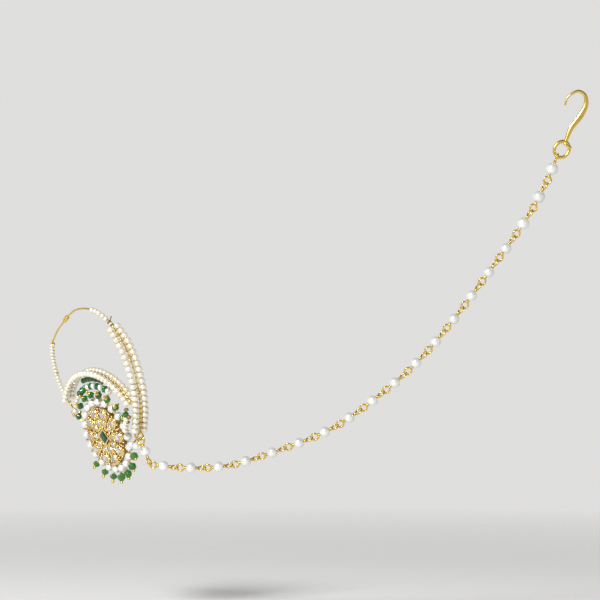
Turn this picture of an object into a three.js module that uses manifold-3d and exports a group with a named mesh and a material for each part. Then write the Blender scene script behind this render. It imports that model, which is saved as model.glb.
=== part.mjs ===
// Nath nose ring, worn: a pearl-strung gold hoop that carries a jewelled flower under a
// crescent of pearl rows, and the pearl chain that runs over the cheek to a hook in the hair.
//
// Millimetres, +Z up. The origin is where the hoop's wire goes through the nostril, +X runs
// back along the cheek, and -Y faces whoever looks at the jewel.

import * as THREE from 'three';
import { mergeVertices } from 'three/addons/utils/BufferGeometryUtils.js';
import Module from 'manifold-3d';

const wasm = await Module();
wasm.setup();

// Room left between two pieces that touch on the real jewel
const seatGap = 0.3;

// How the hoop hangs from the nostril, in degrees
const hoopTurn = -52;
const hoopLean = 18;
const pierceAngle = 114.4;

// The hoop is one bent wire. Its reach from the middle is given every 30 degrees, from +X
// toward +Z, as a share of hoopRadius, because it is bent by hand and isn't a true circle.
const hoopRadius = 27;
const wireThickness = 0.7;
const hoopReach = [0.937, 1.01, 1.076, 1.035, 0.967, 1.03, 0.995, 0.943, 0.98, 1.015, 1.035, 0.945];
const catchLength = 3.2;
const catchThickness = 1.7;

// Pearls threaded on the wire from the nostril to the binding, in degrees round the hoop
const topPearl = 1.95;
const topPearlFrom = 74;
const topPearlTo = 55.5;
const bindingAngle = 52;
const bindingThickness = 0.5;
const bindingTail = 2.4;

// Two rows of flat pearls lie against the wire, one before and one behind it
const strandPearl = 2.5;
const strandFrom = 48;
const strandTwist = 12;

// One row of small pearls along the outside of the wire at the far side
const farPearl = 1.9;
const farPearlFrom = 151;
const farPearlTo = 201;

// Flower: a pierced gold disc with a stone on each petal, hung low on the hoop
const flowerSide = -0.022 * hoopRadius;
const flowerDrop = 0.809 * hoopRadius;
const discRadius = 11.7;
const discThickness = 2.2;
const petalCount = 10;
const petalOutline = [1, 0.975, 0.92, 0.975];
const petalStone = 3;
const petalStoneHeight = 1.2;
const petalCupWall = 0.35;
const petalHole = 1.3;
const centreStone = 3.2;
const centreStoneHeight = 1.3;
const collarWall = 0.7;
const collarHeight = 0.9;
const collarTurn = -8;

// Ring of pearls round the disc, with a gold pin between each two
const ringPearl = 3.1;
const pinThickness = 0.5;

// Fringe of green beads with gold tips, one outside each pin, but for two bare stretches
const dropLength = 3.8;
const dropBead = 2.9;
const dropTip = 1.2;
const upperDropLean = 35;
const lowerDropLean = 20;
const bareStretches = [{ from: -20, to: 20 }, { from: 160, to: 220 }];

// Crescent over the flower: mixed beads, dark green beads, then two rows of pearls on a wire
const rowGap = 0.6;
const mixedBead = 2.6;
const mixedRowFrom = 60;
const mixedRowTo = 155;
const greenBead = 1.9;
const greenRowFrom = 71;
const greenRowTo = 109;
const crescentPearl = 2.4;
const crescentWire = 0.6;
const crescentRight = 15;
const crescentLeftFront = 155;
const crescentLeftBack = 147;

// Short leg of pearls from the crescent's foot down to a pin of the ring
const legPearl = 2.2;
const legFrom = 24;
const legReach = 21.4;

// Two pearls between the ring and the hoop's lower corner
const cornerPearl = 2.8;
const cornerPearlCount = 2;
const cornerForward = 1.5;

// Chain: each unit is a pearl with a stem and a wire eye on both sides
const chainPearls = 20;
const chainPearl = 4;
const largeChainPearl = 4.6;
const largePearlsFrom = 17;
const stemLength = 0.88;
const stemThickness = 0.95;
const eyeRadius = 1.34;
const eyeWire = 0.6;
const eyeTwist = 25;
const chainRingRadius = 1.6;
const chainRingAngle = -51.5;
// Where the chain lies along the cheek: a few places chosen by hand
const chainRoute = [
  [32.6, -16.2, -54], [37.8, -18.1, -55.3], [49.8, -21, -55.4], [59.8, -23.7, -55.2],
  [80.6, -28.7, -48.7], [100.8, -33, -40.4], [117.7, -36.7, -28.3], [133, -39.7, -14.7],
  [147, -42, 2.3], [159.3, -43.7, 19.1], [171.9, -44.7, 37], [177.3, -45, 46.2],
  [181, -45, 54.8], [184.5, -45, 63.5],
];
const routeStep = 0.002;

// Hair hook: an eye ring with a flat stem that bends over to a thin tip. Each section is
// given as shares of hookThrow, hookRise and hookWidth.
const hookEyeRadius = 2.6;
const hookEyeStretch = 1.19;
const hookEyeWire = 1.1;
const hookEyeTilt = 57;
const hookThrow = 9;
const hookRise = 21.3;
const hookWidth = 2.2;
const hookThickness = 1.2;
const hookSections = [
  { across: 0.15, up: 0.125, width: 0.6 },
  { across: 0.37, up: 0.356, width: 0.85 },
  { across: 0.78, up: 0.588, width: 1 },
  { across: 0.97, up: 0.75, width: 0.85 },
  { across: 1, up: 0.835, width: 0.74 },
  { across: 0.92, up: 0.945, width: 0.6 },
  { across: 0.68, up: 1, width: 0.5 },
  { across: 0.4, up: 0.955, width: 0.42 },
  { across: 0.22, up: 0.88, width: 0.38 },
  { across: 0.13, up: 0.76, width: 0.34 },
];

// Sides of the round pieces
const wireSides = 6;
const linkSides = 5;
const linkSteps = 10;
const strandSides = 8;
const beadSides = 10;
const beadRows = 4;
const stoneSides = 8;

const halfWire = wireThickness / 2;
const degrees = THREE.MathUtils.degToRad;

function finish(name, color, roughness, metalness) {
  return new THREE.MeshStandardMaterial({ name, color, roughness, metalness });
}
const looks = {
  gold: () => finish('gold', 0xd9a441, 0.28, 1),
  cream: () => finish('cream pearl', 0xece3d0, 0.3, 0),
  white: () => finish('white pearl', 0xf1f0ee, 0.25, 0),
  green: () => finish('green glass', 0x1f7a33, 0.12, 0),
  deepGreen: () => finish('deep green stone', 0x0b5a3c, 0.08, 0),
  setting: () => finish('gold with clear stones', 0xdcb45c, 0.25, 0.9),
  chain: () => finish('pearls on gold wire', 0xeee6d6, 0.28, 0.1),
};

function mesh(name, geometry, material) {
  const piece = new THREE.Mesh(geometry, material);
  piece.name = name;
  return piece;
}

// A closed body through rings of points, each with the same count, its two ends filled flat
function loftBody(rings) {
  const count = rings[0].length;
  const faces = [];
  for (let ring = 0; ring + 1 < rings.length; ring += 1) {
    for (let side = 0; side < count; side += 1) {
      const here = ring * count + side;
      const next = ring * count + (side + 1) % count;
      faces.push(here, next, next + count, here, next + count, here + count);
    }
  }
  const last = (rings.length - 1) * count;
  for (let side = 1; side + 1 < count; side += 1) {
    faces.push(0, side + 1, side, last, last + side, last + side + 1);
  }
  const body = new THREE.BufferGeometry();
  const numbers = rings.flat().flatMap((point) => [point.x, point.y, point.z]);
  body.setAttribute('position', new THREE.Float32BufferAttribute(numbers, 3));
  body.setIndex(faces);
  body.computeVertexNormals();
  return body;
}

// A body turned about +Z: each row gives its radius and height, and no row is on the axis
function turnedBody(rows, sides, startTurn = 0) {
  return loftBody(rows.map(({ radius, height }) => Array.from({ length: sides }, (_, side) => {
    const angle = startTurn + (2 * Math.PI * side) / sides;
    return new THREE.Vector3(radius * Math.cos(angle), radius * Math.sin(angle), height);
  })));
}

function roundShape(radius, sides) {
  const shape = new THREE.Shape();
  shape.setFromPoints(Array.from({ length: sides }, (_, side) => {
    const angle = (2 * Math.PI * side) / sides;
    return new THREE.Vector2(radius * Math.cos(angle), radius * Math.sin(angle));
  }));
  return shape;
}

// A curve from a function that gives the point at each share of the way
class Path extends THREE.Curve {
  constructor(pointAt) {
    super();
    this.pointAt = pointAt;
  }

  getPoint(share, target = new THREE.Vector3()) {
    return target.copy(this.pointAt(share));
  }
}

function tube(path, shape, stepLength) {
  const steps = Math.max(2, Math.round(path.getLength() / stepLength));
  return new THREE.ExtrudeGeometry(shape, { steps, extrudePath: path, bevelEnabled: false });
}

function toSolid(geometry) {
  const bare = geometry.index ? geometry.clone() : geometry;
  bare.deleteAttribute('normal');
  bare.deleteAttribute('uv');
  const merged = mergeVertices(bare, 0.0001);
  const vertProperties = new Float32Array(merged.attributes.position.array);
  const triVerts = new Uint32Array(merged.index.array);
  return new wasm.Manifold(new wasm.Mesh({ numProp: 3, vertProperties, triVerts }));
}

function toGeometry(solid) {
  const result = solid.getMesh();
  const body = new THREE.BufferGeometry();
  body.setAttribute('position', new THREE.Float32BufferAttribute(result.vertProperties, 3));
  body.setIndex(new THREE.BufferAttribute(new Uint32Array(result.triVerts), 1));
  body.computeVertexNormals();
  return body;
}

function fuse(geometries) {
  return toGeometry(geometries.map(toSolid).reduce((whole, piece) => whole.add(piece)));
}

// A matrix that stands a piece's +Z along the given direction, with its +X near the side given
function standing(origin, direction, side) {
  const up = direction.clone().normalize();
  const across = side.clone().addScaledVector(up, -side.dot(up)).normalize();
  const depth = up.clone().cross(across);
  return new THREE.Matrix4().makeBasis(across, depth, up).setPosition(origin);
}

// A smooth value between p1 and p2, at share t of the way
function smoothBetween(t, p0, p1, p2, p3) {
  const startSlope = (p2 - p0) / 2;
  const endSlope = (p3 - p1) / 2;
  const cubic = 2 * p1 - 2 * p2 + startSlope + endSlope;
  const square = 3 * p2 - 3 * p1 - 2 * startSlope - endSlope;
  return cubic * t ** 3 + square * t ** 2 + startSlope * t + p1;
}

// A point by the hoop's wire: outward from the wire in the hoop's plane, and behind that plane
function hoopPoint(angle, outward = 0, back = 0) {
  const count = hoopReach.length;
  const place = THREE.MathUtils.euclideanModulo((angle * count) / 360, count);
  const before = Math.floor(place);
  const shares = [-1, 0, 1, 2].map((step) => hoopReach[(before + step + count) % count]);
  const reach = hoopRadius * smoothBetween(place - before, ...shares) + outward;
  return new THREE.Vector3(reach * Math.cos(degrees(angle)), back, reach * Math.sin(degrees(angle)));
}

function hoopStretch(from, to, outward = 0, back = 0) {
  return new Path((share) => hoopPoint(from + (to - from) * share, outward, back));
}

// The middle plane of the flower, far enough before the wire for its pearls
const flowerPlane = -(halfWire + seatGap + ringPearl / 2);
const flowerMiddle = new THREE.Vector3(flowerSide, flowerPlane, -flowerDrop);

function flowerPoint(angle, radius, back = 0) {
  return new THREE.Vector3(radius * Math.cos(degrees(angle)), back, radius * Math.sin(degrees(angle)));
}

function flowerArc(from, to, radius, back = 0) {
  return new Path((share) => flowerPoint(from + (to - from) * share, radius, back));
}

// Radii round the flower, stacked outward from the disc
const ringRadius = discRadius + seatGap + ringPearl / 2;
const pinEnd = ringRadius + ringPearl / 2;
const dropStart = pinEnd + seatGap;
const dropReach = dropLength * Math.cos(degrees(upperDropLean));
const mixedRowRadius = dropStart + dropReach + mixedBead / 2;
const greenRowRadius = mixedRowRadius + (mixedBead + greenBead) / 2 + rowGap;
const crescentRadius = greenRowRadius + (greenBead + crescentPearl) / 2 + rowGap;
const crescentRowBack = crescentWire / 2 + seatGap + crescentPearl / 2;
const ringCount = Math.floor((2 * Math.PI * ringRadius) / (ringPearl + pinThickness + 2 * seatGap));
const ringPitch = 360 / ringCount;
const cornerAngle = -ringPitch / 2;
const cornerRadius = (index) => pinEnd + seatGap + cornerPearl / 2 + index * (cornerPearl + seatGap);

// The two cheek strands lie on either side of the wire, turned a little from its plane
const strandOffset = halfWire + seatGap + strandPearl / 2;
const strandOut = strandOffset * Math.sin(degrees(strandTwist));
const strandBack = strandOffset * Math.cos(degrees(strandTwist));
const farOffset = halfWire + seatGap + farPearl / 2;
const strandRoom = eyeWire + 2 * seatGap;
const strandTo = chainRingAngle + THREE.MathUtils.radToDeg(strandRoom / hoopRadius);

// The furthest angle round the flower that a row can reach and stay clear of the hoop
function rowEnd(from, to, radius, back, thickness) {
  const turnStep = Math.sign(to - from) / 4;
  const hoopLines = [
    { outward: 0, behind: 0, half: halfWire },
    { outward: strandOut, behind: strandBack, half: strandPearl / 2 },
    { outward: -strandOut, behind: -strandBack, half: strandPearl / 2 },
  ];
  let angle = from;
  while (Math.abs(to - angle) > Math.abs(turnStep) / 2) {
    const ahead = flowerPoint(angle + turnStep, radius, back).add(flowerMiddle);
    const hoopAngle = THREE.MathUtils.radToDeg(Math.atan2(ahead.z, ahead.x));
    const near = [-4, -2, 0, 2, 4];
    const touches = hoopLines.some(({ outward, behind, half }) => near.some((step) => (
      hoopPoint(hoopAngle + step, outward, behind).distanceTo(ahead) < half + thickness / 2 + seatGap
    )));
    if (touches) break;
    angle += turnStep;
  }
  return angle;
}

// Gold hoop, whose ends meet in a plain catch where it goes through the nostril
function hoopWire() {
  const round = new THREE.TubeGeometry(hoopStretch(0, 360), 48, halfWire, wireSides, true);
  const catchTurn = THREE.MathUtils.radToDeg(catchLength / hoopRadius) / 2;
  const path = hoopStretch(pierceAngle - catchTurn, pierceAngle + catchTurn);
  const barrel = tube(path, roundShape(catchThickness / 2, strandSides), catchLength / 2);
  return mesh('hoop_wire', fuse([round, barrel]), looks.gold());
}

// Pearls with the wire through them
function topPearls() {
  const shape = roundShape(topPearl / 2, strandSides);
  shape.holes.push(roundShape(halfWire + seatGap, wireSides));
  const path = hoopStretch(topPearlFrom, topPearlTo);
  return mesh('top_pearl_string', tube(path, shape, topPearl * 1.5), looks.cream());
}

// A wire ring round the hoop that binds the strands, with its cut end standing up
function topBinding() {
  const ringRadiusHere = halfWire + seatGap + bindingThickness / 2;
  const ring = new THREE.TorusGeometry(ringRadiusHere, bindingThickness / 2, linkSides, linkSteps);
  const tail = turnedBody([
    { radius: bindingThickness / 3, height: 0 },
    { radius: bindingThickness / 4, height: bindingTail },
  ], linkSides);
  const middle = hoopPoint(bindingAngle);
  const along = hoopPoint(bindingAngle + 1).sub(middle).normalize();
  const outward = middle.clone().normalize();
  ring.applyMatrix4(standing(middle, along, outward));
  const tailFoot = middle.clone().addScaledVector(outward, ringRadiusHere);
  tail.applyMatrix4(standing(tailFoot, outward, along));
  return mesh('top_binding', fuse([ring, tail]), looks.gold());
}

function strand(name, path, pearl, look) {
  return mesh(name, tube(path, roundShape(pearl / 2, strandSides), pearl * 2.4), look());
}

function hoopStrands() {
  const back = hoopStretch(strandFrom, strandTo, strandOut, strandBack);
  const front = hoopStretch(strandFrom, strandTo, -strandOut, -strandBack);
  const far = hoopStretch(farPearlFrom, farPearlTo, farOffset);
  return [
    strand('back_pearl_strand', back, strandPearl, looks.cream),
    strand('front_pearl_strand', front, strandPearl, looks.cream),
    strand('far_pearl_strand', far, farPearl, looks.cream),
  ];
}

function crescent() {
  const top = 90;
  const ends = (back, thickness, left) => ({
    right: rowEnd(top, crescentRight, crescentRadius, back, thickness),
    left: rowEnd(top, left, crescentRadius, back, thickness),
  });
  const front = ends(-crescentRowBack, crescentPearl, crescentLeftFront);
  const back = ends(crescentRowBack, crescentPearl, crescentLeftBack);
  const middle = ends(0, crescentWire, crescentLeftFront);
  const frontArc = flowerArc(front.right, front.left, crescentRadius, -crescentRowBack);
  const backArc = flowerArc(back.right, back.left, crescentRadius, crescentRowBack);
  const wireArc = flowerArc(middle.right, middle.left, crescentRadius);
  const greenArc = flowerArc(greenRowFrom, greenRowTo, greenRowRadius);
  const mixedArc = flowerArc(mixedRowFrom, mixedRowTo, mixedRowRadius);
  const wireShape = roundShape(crescentWire / 2, wireSides);
  return [
    strand('crescent_front_row', frontArc, crescentPearl, looks.cream),
    strand('crescent_back_row', backArc, crescentPearl, looks.cream),
    mesh('crescent_wire', tube(wireArc, wireShape, crescentPearl * 1.6), looks.gold()),
    strand('green_bead_row', greenArc, greenBead, looks.green),
    strand('mixed_bead_row', mixedArc, mixedBead, looks.green),
  ];
}

// The leg starts before the front strand, clear of it at any size, and ends on a pin's end
function pearlLeg() {
  const plane = -(strandBack + strandPearl / 2 + seatGap + legPearl / 2) - flowerPlane;
  const endPlane = -((pinThickness + legPearl) / 2 + seatGap);
  const start = flowerPoint(legFrom, legReach, plane);
  const end = flowerPoint(ringPitch / 2, pinEnd, endPlane);
  return strand('pearl_leg', new THREE.LineCurve3(start, end), legPearl, looks.cream);
}

// Pierced disc with petals, a cup and a stone on each, a square collar and the ring's pins
function flowerSetting() {
  const outline = new THREE.Shape();
  const outlineCount = petalCount * petalOutline.length;
  outline.setFromPoints(Array.from({ length: outlineCount }, (_, place) => {
    const angle = (2 * Math.PI * place) / outlineCount;
    const radius = discRadius * petalOutline[place % petalOutline.length];
    return new THREE.Vector2(radius * Math.cos(angle), radius * Math.sin(angle));
  }));
  const stoneCircle = discRadius - petalStone / 2 - petalCupWall - seatGap * 2;
  const holeCircle = stoneCircle - petalStone / 2 - petalHole / 4;
  const front = discThickness / 2;
  for (let petal = 0; petal < petalCount; petal += 1) {
    const angle = (2 * Math.PI * (petal + 0.5)) / petalCount;
    const middle = new THREE.Vector2(Math.cos(angle), Math.sin(angle)).multiplyScalar(holeCircle);
    const hole = new THREE.Path();
    const rim = roundShape(petalHole / 2, wireSides).getPoints();
    hole.setFromPoints(rim.map((point) => point.add(middle)));
    outline.holes.push(hole);
  }
  const disc = new THREE.ExtrudeGeometry(outline, { depth: discThickness, bevelEnabled: false });
  disc.translate(0, 0, -front);
  const pieces = [disc];
  for (let petal = 0; petal < petalCount; petal += 1) {
    const angle = (2 * Math.PI * petal) / petalCount;
    const stone = turnedBody([
      { radius: petalStone / 2 + petalCupWall, height: front - seatGap },
      { radius: petalStone / 2 + petalCupWall, height: front + petalStoneHeight * 0.35 },
      { radius: petalStone / 2, height: front + petalStoneHeight * 0.4 },
      { radius: petalStone * 0.29, height: front + petalStoneHeight },
    ], stoneSides, Math.PI / stoneSides);
    stone.translate(stoneCircle * Math.cos(angle), stoneCircle * Math.sin(angle), 0);
    pieces.push(stone);
  }
  const squareTurn = degrees(collarTurn);
  const inner = (centreStone / 2 + seatGap) * Math.SQRT2;
  const outer = inner + collarWall * Math.SQRT2;
  const collar = turnedBody([
    { radius: outer, height: 0 },
    { radius: outer, height: front + collarHeight * 0.5 },
    { radius: (inner + outer) / 2, height: front + collarHeight },
  ], 4, squareTurn);
  const seat = turnedBody([
    { radius: inner, height: front - seatGap },
    { radius: inner, height: front + collarHeight * 2 },
  ], 4, squareTurn);
  for (let pin = 0; pin < ringCount; pin += 1) {
    const rod = turnedBody([
      { radius: pinThickness / 2, height: discRadius * 0.9 },
      { radius: pinThickness / 2, height: pinEnd },
    ], wireSides);
    const angle = degrees(ringPitch * (pin + 0.5));
    const outward = new THREE.Vector3(Math.cos(angle), Math.sin(angle), 0);
    rod.applyMatrix4(standing(new THREE.Vector3(), outward, new THREE.Vector3(0, 0, 1)));
    pieces.push(rod);
  }
  pieces.push(collar);
  const whole = pieces.map(toSolid).reduce((sum, piece) => sum.add(piece)).subtract(toSolid(seat));
  const setting = mesh('flower_setting', toGeometry(whole), looks.setting());
  setting.rotation.x = Math.PI / 2;
  return setting;
}

// Square green stone with cut corners: a girdle, eight crown facets and a table
function flowerStone() {
  const half = centreStone / 2;
  const cut = centreStone * 0.16;
  const corners = (share, height) => {
    const side = half * share;
    const bite = cut * share;
    return [
      [side, -side + bite], [side, side - bite], [side - bite, side], [-side + bite, side],
      [-side, side - bite], [-side, -side + bite], [-side + bite, -side], [side - bite, -side],
    ].map(([x, y]) => new THREE.Vector3(x, y, height));
  };
  const floor = discThickness / 2;
  const stone = loftBody([
    corners(0.9, floor),
    corners(1, floor + centreStoneHeight * 0.5),
    corners(0.62, floor + centreStoneHeight),
  ]);
  stone.rotateZ(degrees(collarTurn) + Math.PI / 4);
  const piece = mesh('centre_stone', stone, looks.deepGreen());
  piece.rotation.x = Math.PI / 2;
  return piece;
}

function roundPearl(name, diameter, middle, look) {
  const piece = mesh(name, new THREE.SphereGeometry(diameter / 2, beadSides, beadRows), look());
  piece.position.copy(middle);
  return piece;
}

function ringPearls() {
  return Array.from({ length: ringCount }, (_, index) => roundPearl(
    `ring_pearl_${String(index + 1).padStart(2, '0')}`,
    ringPearl,
    flowerPoint(ringPitch * index, ringRadius),
    looks.white,
  ));
}

function cornerPearls() {
  return Array.from({ length: cornerPearlCount }, (_, index) => roundPearl(
    `corner_pearl_${index + 1}`,
    cornerPearl,
    flowerPoint(cornerAngle, cornerRadius(index), -cornerForward),
    looks.white,
  ));
}

// Green bead on a gold stub, with a gold ball at its end
function greenDrops() {
  const drops = [];
  for (let pin = 0; pin < ringCount; pin += 1) {
    const angle = ringPitch * (pin + 0.5);
    const lapped = angle > 220 ? angle - 360 : angle;
    const bare = bareStretches.some(({ from, to }) => lapped > from && lapped < to);
    if (bare) continue;
    const lean = degrees(lapped > 0 ? upperDropLean : lowerDropLean);
    const body = turnedBody([
      { radius: pinThickness / 2, height: 0 },
      { radius: dropBead / 2, height: dropLength * 0.27 },
      { radius: dropBead / 2, height: dropLength * 0.48 },
      { radius: pinThickness / 2, height: dropLength * 0.72 },
      { radius: dropTip / 2, height: dropLength * 0.88 },
    ], beadSides);
    const direction = flowerPoint(angle, Math.cos(lean), -Math.sin(lean));
    body.applyMatrix4(standing(flowerPoint(angle, dropStart), direction, new THREE.Vector3(0, 1, 0)));
    drops.push(mesh(`green_drop_${String(drops.length + 1).padStart(2, '0')}`, body, looks.green()));
  }
  return drops;
}

// The hoop's own group: turned and leaned, and moved so that the pierced point is the origin
const hoopGroup = new THREE.Group();
hoopGroup.rotation.set(degrees(hoopLean), 0, degrees(hoopTurn), 'ZXY');
hoopGroup.position.copy(hoopPoint(pierceAngle).applyEuler(hoopGroup.rotation).negate());
hoopGroup.updateMatrixWorld(true);

const flowerGroup = new THREE.Group();
flowerGroup.position.copy(flowerMiddle);
flowerGroup.add(flowerSetting(), flowerStone(), ...ringPearls(), ...cornerPearls(), ...greenDrops());
flowerGroup.add(...crescent(), pearlLeg());
hoopGroup.add(hoopWire(), topPearls(), topBinding(), ...hoopStrands(), flowerGroup);

// Distances along one chain unit, from its pearl's middle
const pearlSize = (index) => (index >= largePearlsFrom ? largeChainPearl : chainPearl);
const eyeMiddle = (index) => pearlSize(index) / 2 + stemLength + eyeRadius;
const eyeContact = eyeWire * 0.66;
const linkedEyes = 2 * eyeRadius - eyeContact;
const halfUnit = (index) => eyeMiddle(index) + linkedEyes / 2;

// One unit along +Z: the first eye faces the viewer, and the second is a quarter turn from it
function chainUnit(index) {
  const size = pearlSize(index);
  const parts = [new THREE.SphereGeometry(size / 2, beadSides, beadRows).rotateX(Math.PI / 2)];
  for (const end of [-1, 1]) {
    const eye = new THREE.TorusGeometry(eyeRadius, eyeWire / 2, linkSides, linkSteps);
    eye.rotateZ(Math.PI / linkSteps);
    eye.rotateX(Math.PI / 2);
    if (end > 0) eye.rotateZ(Math.PI / 2);
    eye.translate(0, 0, end * eyeMiddle(index));
    const stem = turnedBody([
      { radius: stemThickness / 2, height: size / 2 - seatGap },
      { radius: stemThickness / 2, height: size / 2 + stemLength + eyeWire / 4 },
    ], linkSides);
    if (end < 0) stem.rotateX(Math.PI);
    parts.push(eye, stem);
  }
  return fuse(parts);
}

// The ring that hangs on the hoop, and the first unit below it
const hangPoint = hoopPoint(chainRingAngle).applyMatrix4(hoopGroup.matrixWorld);
const hangNext = hoopPoint(chainRingAngle - 1).applyMatrix4(hoopGroup.matrixWorld);
const hangDirection = new THREE.Vector3(...chainRoute[0]).sub(hangPoint).normalize();
const chainRingWire = eyeWire / 2;
const ringOverWire = chainRingRadius - chainRingWire - halfWire - seatGap / 2;
const firstEye = ringOverWire + chainRingRadius - eyeWire - seatGap / 2 + eyeRadius;

function chainStartRing() {
  const ring = new THREE.TorusGeometry(chainRingRadius, chainRingWire, linkSides, linkSteps);
  const middle = hangPoint.clone().addScaledVector(hangDirection, ringOverWire);
  const along = hangNext.clone().sub(hangPoint).normalize();
  along.addScaledVector(hangDirection, -along.dot(hangDirection));
  ring.applyMatrix4(standing(middle, along, hangDirection));
  return mesh('chain_start_ring', ring, looks.gold());
}

// The joints between the units, walked along the route so that each is one unit from the last
function chainJoints() {
  const firstPearl = firstEye + eyeMiddle(0);
  const start = hangPoint.clone().addScaledVector(hangDirection, firstPearl - halfUnit(0));
  const joints = [start, start.clone().addScaledVector(hangDirection, 2 * halfUnit(0))];
  const places = chainRoute.slice(1).map((place) => new THREE.Vector3(...place));
  const route = new THREE.CatmullRomCurve3([joints[1], ...places], false, 'centripetal');
  route.arcLengthDivisions = 2000;
  const onward = route.getTangent(1);
  const routeLength = route.getLength();
  const routePoint = (share) => (share <= 1 ? route.getPointAt(share)
    : route.getPoint(1).addScaledVector(onward, (share - 1) * routeLength));
  let share = 0;
  for (let index = 1; index < chainPearls; index += 1) {
    while (routePoint(share).distanceTo(joints[index]) < 2 * halfUnit(index)) share += routeStep;
    const toward = routePoint(share).sub(joints[index]).normalize();
    joints.push(joints[index].clone().addScaledVector(toward, 2 * halfUnit(index)));
  }
  return joints;
}

const joints = chainJoints();

function pearlChain() {
  const parts = [];
  for (let index = 0; index < chainPearls; index += 1) {
    const direction = joints[index + 1].clone().sub(joints[index]).normalize();
    const middle = joints[index].clone().addScaledVector(direction, halfUnit(index));
    const last = index === chainPearls - 1;
    const twist = new THREE.Matrix4().makeRotationZ(degrees(90 + (last ? 0 : eyeTwist)));
    const place = standing(middle, direction, new THREE.Vector3(0, 1, 0)).multiply(twist);
    parts.push(chainUnit(index).applyMatrix4(place));
  }
  return mesh('pearl_chain', fuse(parts), looks.chain());
}

// Hook and eye ring in one: an eye ring, the bent flat stem and the wire's cut end
function hairHook() {
  const ring = new THREE.TorusGeometry(hookEyeRadius, hookEyeWire / 2, wireSides, 14);
  ring.scale(hookEyeStretch, 1, 1);
  ring.rotateX(Math.PI / 2);
  ring.rotateY(degrees(-hookEyeTilt));
  const places = hookSections.map(({ across, up }) => (
    new THREE.Vector3(across * hookThrow, 0, up * hookRise)
  ));
  const path = new THREE.CatmullRomCurve3(places, false, 'centripetal');
  const steps = Math.round(hookSections.length * 1.5);
  const rings = Array.from({ length: steps + 1 }, (_, step) => {
    const share = step / steps;
    const place = share * (hookSections.length - 1);
    const before = Math.min(Math.floor(place), hookSections.length - 2);
    const width = hookWidth * THREE.MathUtils.lerp(
      hookSections[before].width, hookSections[before + 1].width, place - before);
    const middle = path.getPoint(share);
    const along = path.getTangent(share);
    const across = new THREE.Vector3(0, 1, 0).cross(along).normalize();
    const thickness = Math.min(width, hookThickness);
    return Array.from({ length: strandSides }, (_unused, side) => {
      const angle = (2 * Math.PI * side) / strandSides;
      return middle.clone().addScaledVector(across, Math.cos(angle) * width / 2)
        .add(new THREE.Vector3(0, Math.sin(angle) * thickness / 2, 0));
    });
  });
  const stem = loftBody(rings);
  const endLength = hookEyeRadius * 1.3;
  const end = turnedBody([
    { radius: hookEyeWire * 0.45, height: 0 },
    { radius: hookEyeWire * 0.55, height: endLength * 0.7 },
    { radius: hookEyeWire * 0.3, height: endLength },
  ], wireSides);
  const endFoot = places[0].clone().add(new THREE.Vector3(-hookEyeWire / 2, -hookEyeWire / 3, 0));
  end.applyMatrix4(standing(endFoot, new THREE.Vector3(0.8, -0.1, -0.6), new THREE.Vector3(0, 1, 0)));
  const hook = mesh('hair_hook', fuse([ring, stem, end]), looks.gold());
  const lastIndex = chainPearls - 1;
  const direction = joints[chainPearls].clone().sub(joints[lastIndex]).normalize();
  const lastEye = joints[lastIndex].clone()
    .addScaledVector(direction, halfUnit(lastIndex) + eyeMiddle(lastIndex));
  const wireHere = eyeRadius - eyeWire / 2 - hookEyeWire / 2 - seatGap / 2;
  const contact = lastEye.addScaledVector(direction, wireHere);
  const fromEye = new THREE.Vector3(-Math.cos(degrees(hookEyeTilt)), 0, -Math.sin(degrees(hookEyeTilt)));
  hook.position.copy(contact.addScaledVector(fromEye, -hookEyeRadius * hookEyeStretch));
  return hook;
}

const nath = new THREE.Group();
nath.add(hoopGroup, chainStartRing(), pearlChain(), hairHook());

export default nath;
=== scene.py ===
# %% [markdown]
# # A bridal nose ring, dressed in Blender
# The real jewel is a gold hoop strung with seed pearls. It carries a flower of clear stones
# under a pearl crescent, and a pearl chain runs from it to a hook in the hair.
# The imported solids hold every size and place, so each piece below is measured against them.

# %% Load the frame and keep the solids
import math
import random

import bmesh
import bpy
import numpy as np
from mathutils import Matrix, Vector


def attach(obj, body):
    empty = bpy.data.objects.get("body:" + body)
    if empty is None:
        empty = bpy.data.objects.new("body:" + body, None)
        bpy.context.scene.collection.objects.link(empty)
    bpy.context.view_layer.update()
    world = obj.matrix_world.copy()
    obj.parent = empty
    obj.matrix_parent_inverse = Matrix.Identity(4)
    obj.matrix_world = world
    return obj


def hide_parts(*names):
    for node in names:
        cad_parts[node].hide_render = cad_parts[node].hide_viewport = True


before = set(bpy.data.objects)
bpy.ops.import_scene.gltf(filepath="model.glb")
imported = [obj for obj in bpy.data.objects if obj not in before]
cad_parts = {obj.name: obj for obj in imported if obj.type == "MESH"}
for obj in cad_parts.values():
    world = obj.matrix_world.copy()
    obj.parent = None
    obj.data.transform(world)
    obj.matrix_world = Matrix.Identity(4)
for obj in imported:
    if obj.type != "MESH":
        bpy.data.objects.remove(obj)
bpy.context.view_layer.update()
MM = 0.001
bpy.ops.object.select_all(action="DESELECT")
print("nodes in the frame:", len(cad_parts))

# %% [markdown]
# ## Camera
# The photograph was taken from far off, so the lens is long and things hardly shrink with
# distance. The camera looks straight along +Y, level, at the cheek side of the jewel.

# %% Camera
CAMERA_DISTANCE, SENSOR, LENS = 1200, 36, 189.5
CAMERA_PLACE = (88.92 * MM, -CAMERA_DISTANCE * MM, 7.22 * MM)
bpy.ops.object.camera_add(location=CAMERA_PLACE, rotation=(math.radians(90), 0, 0))
camera = bpy.context.object
camera.data.sensor_width = SENSOR
camera.data.lens = LENS
camera.data.clip_start = 0.05
camera.data.dof.use_dof = False
bpy.context.scene.camera = camera
print("picture width at the nostril, mm:", round(SENSOR / LENS * CAMERA_DISTANCE, 1))

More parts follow.
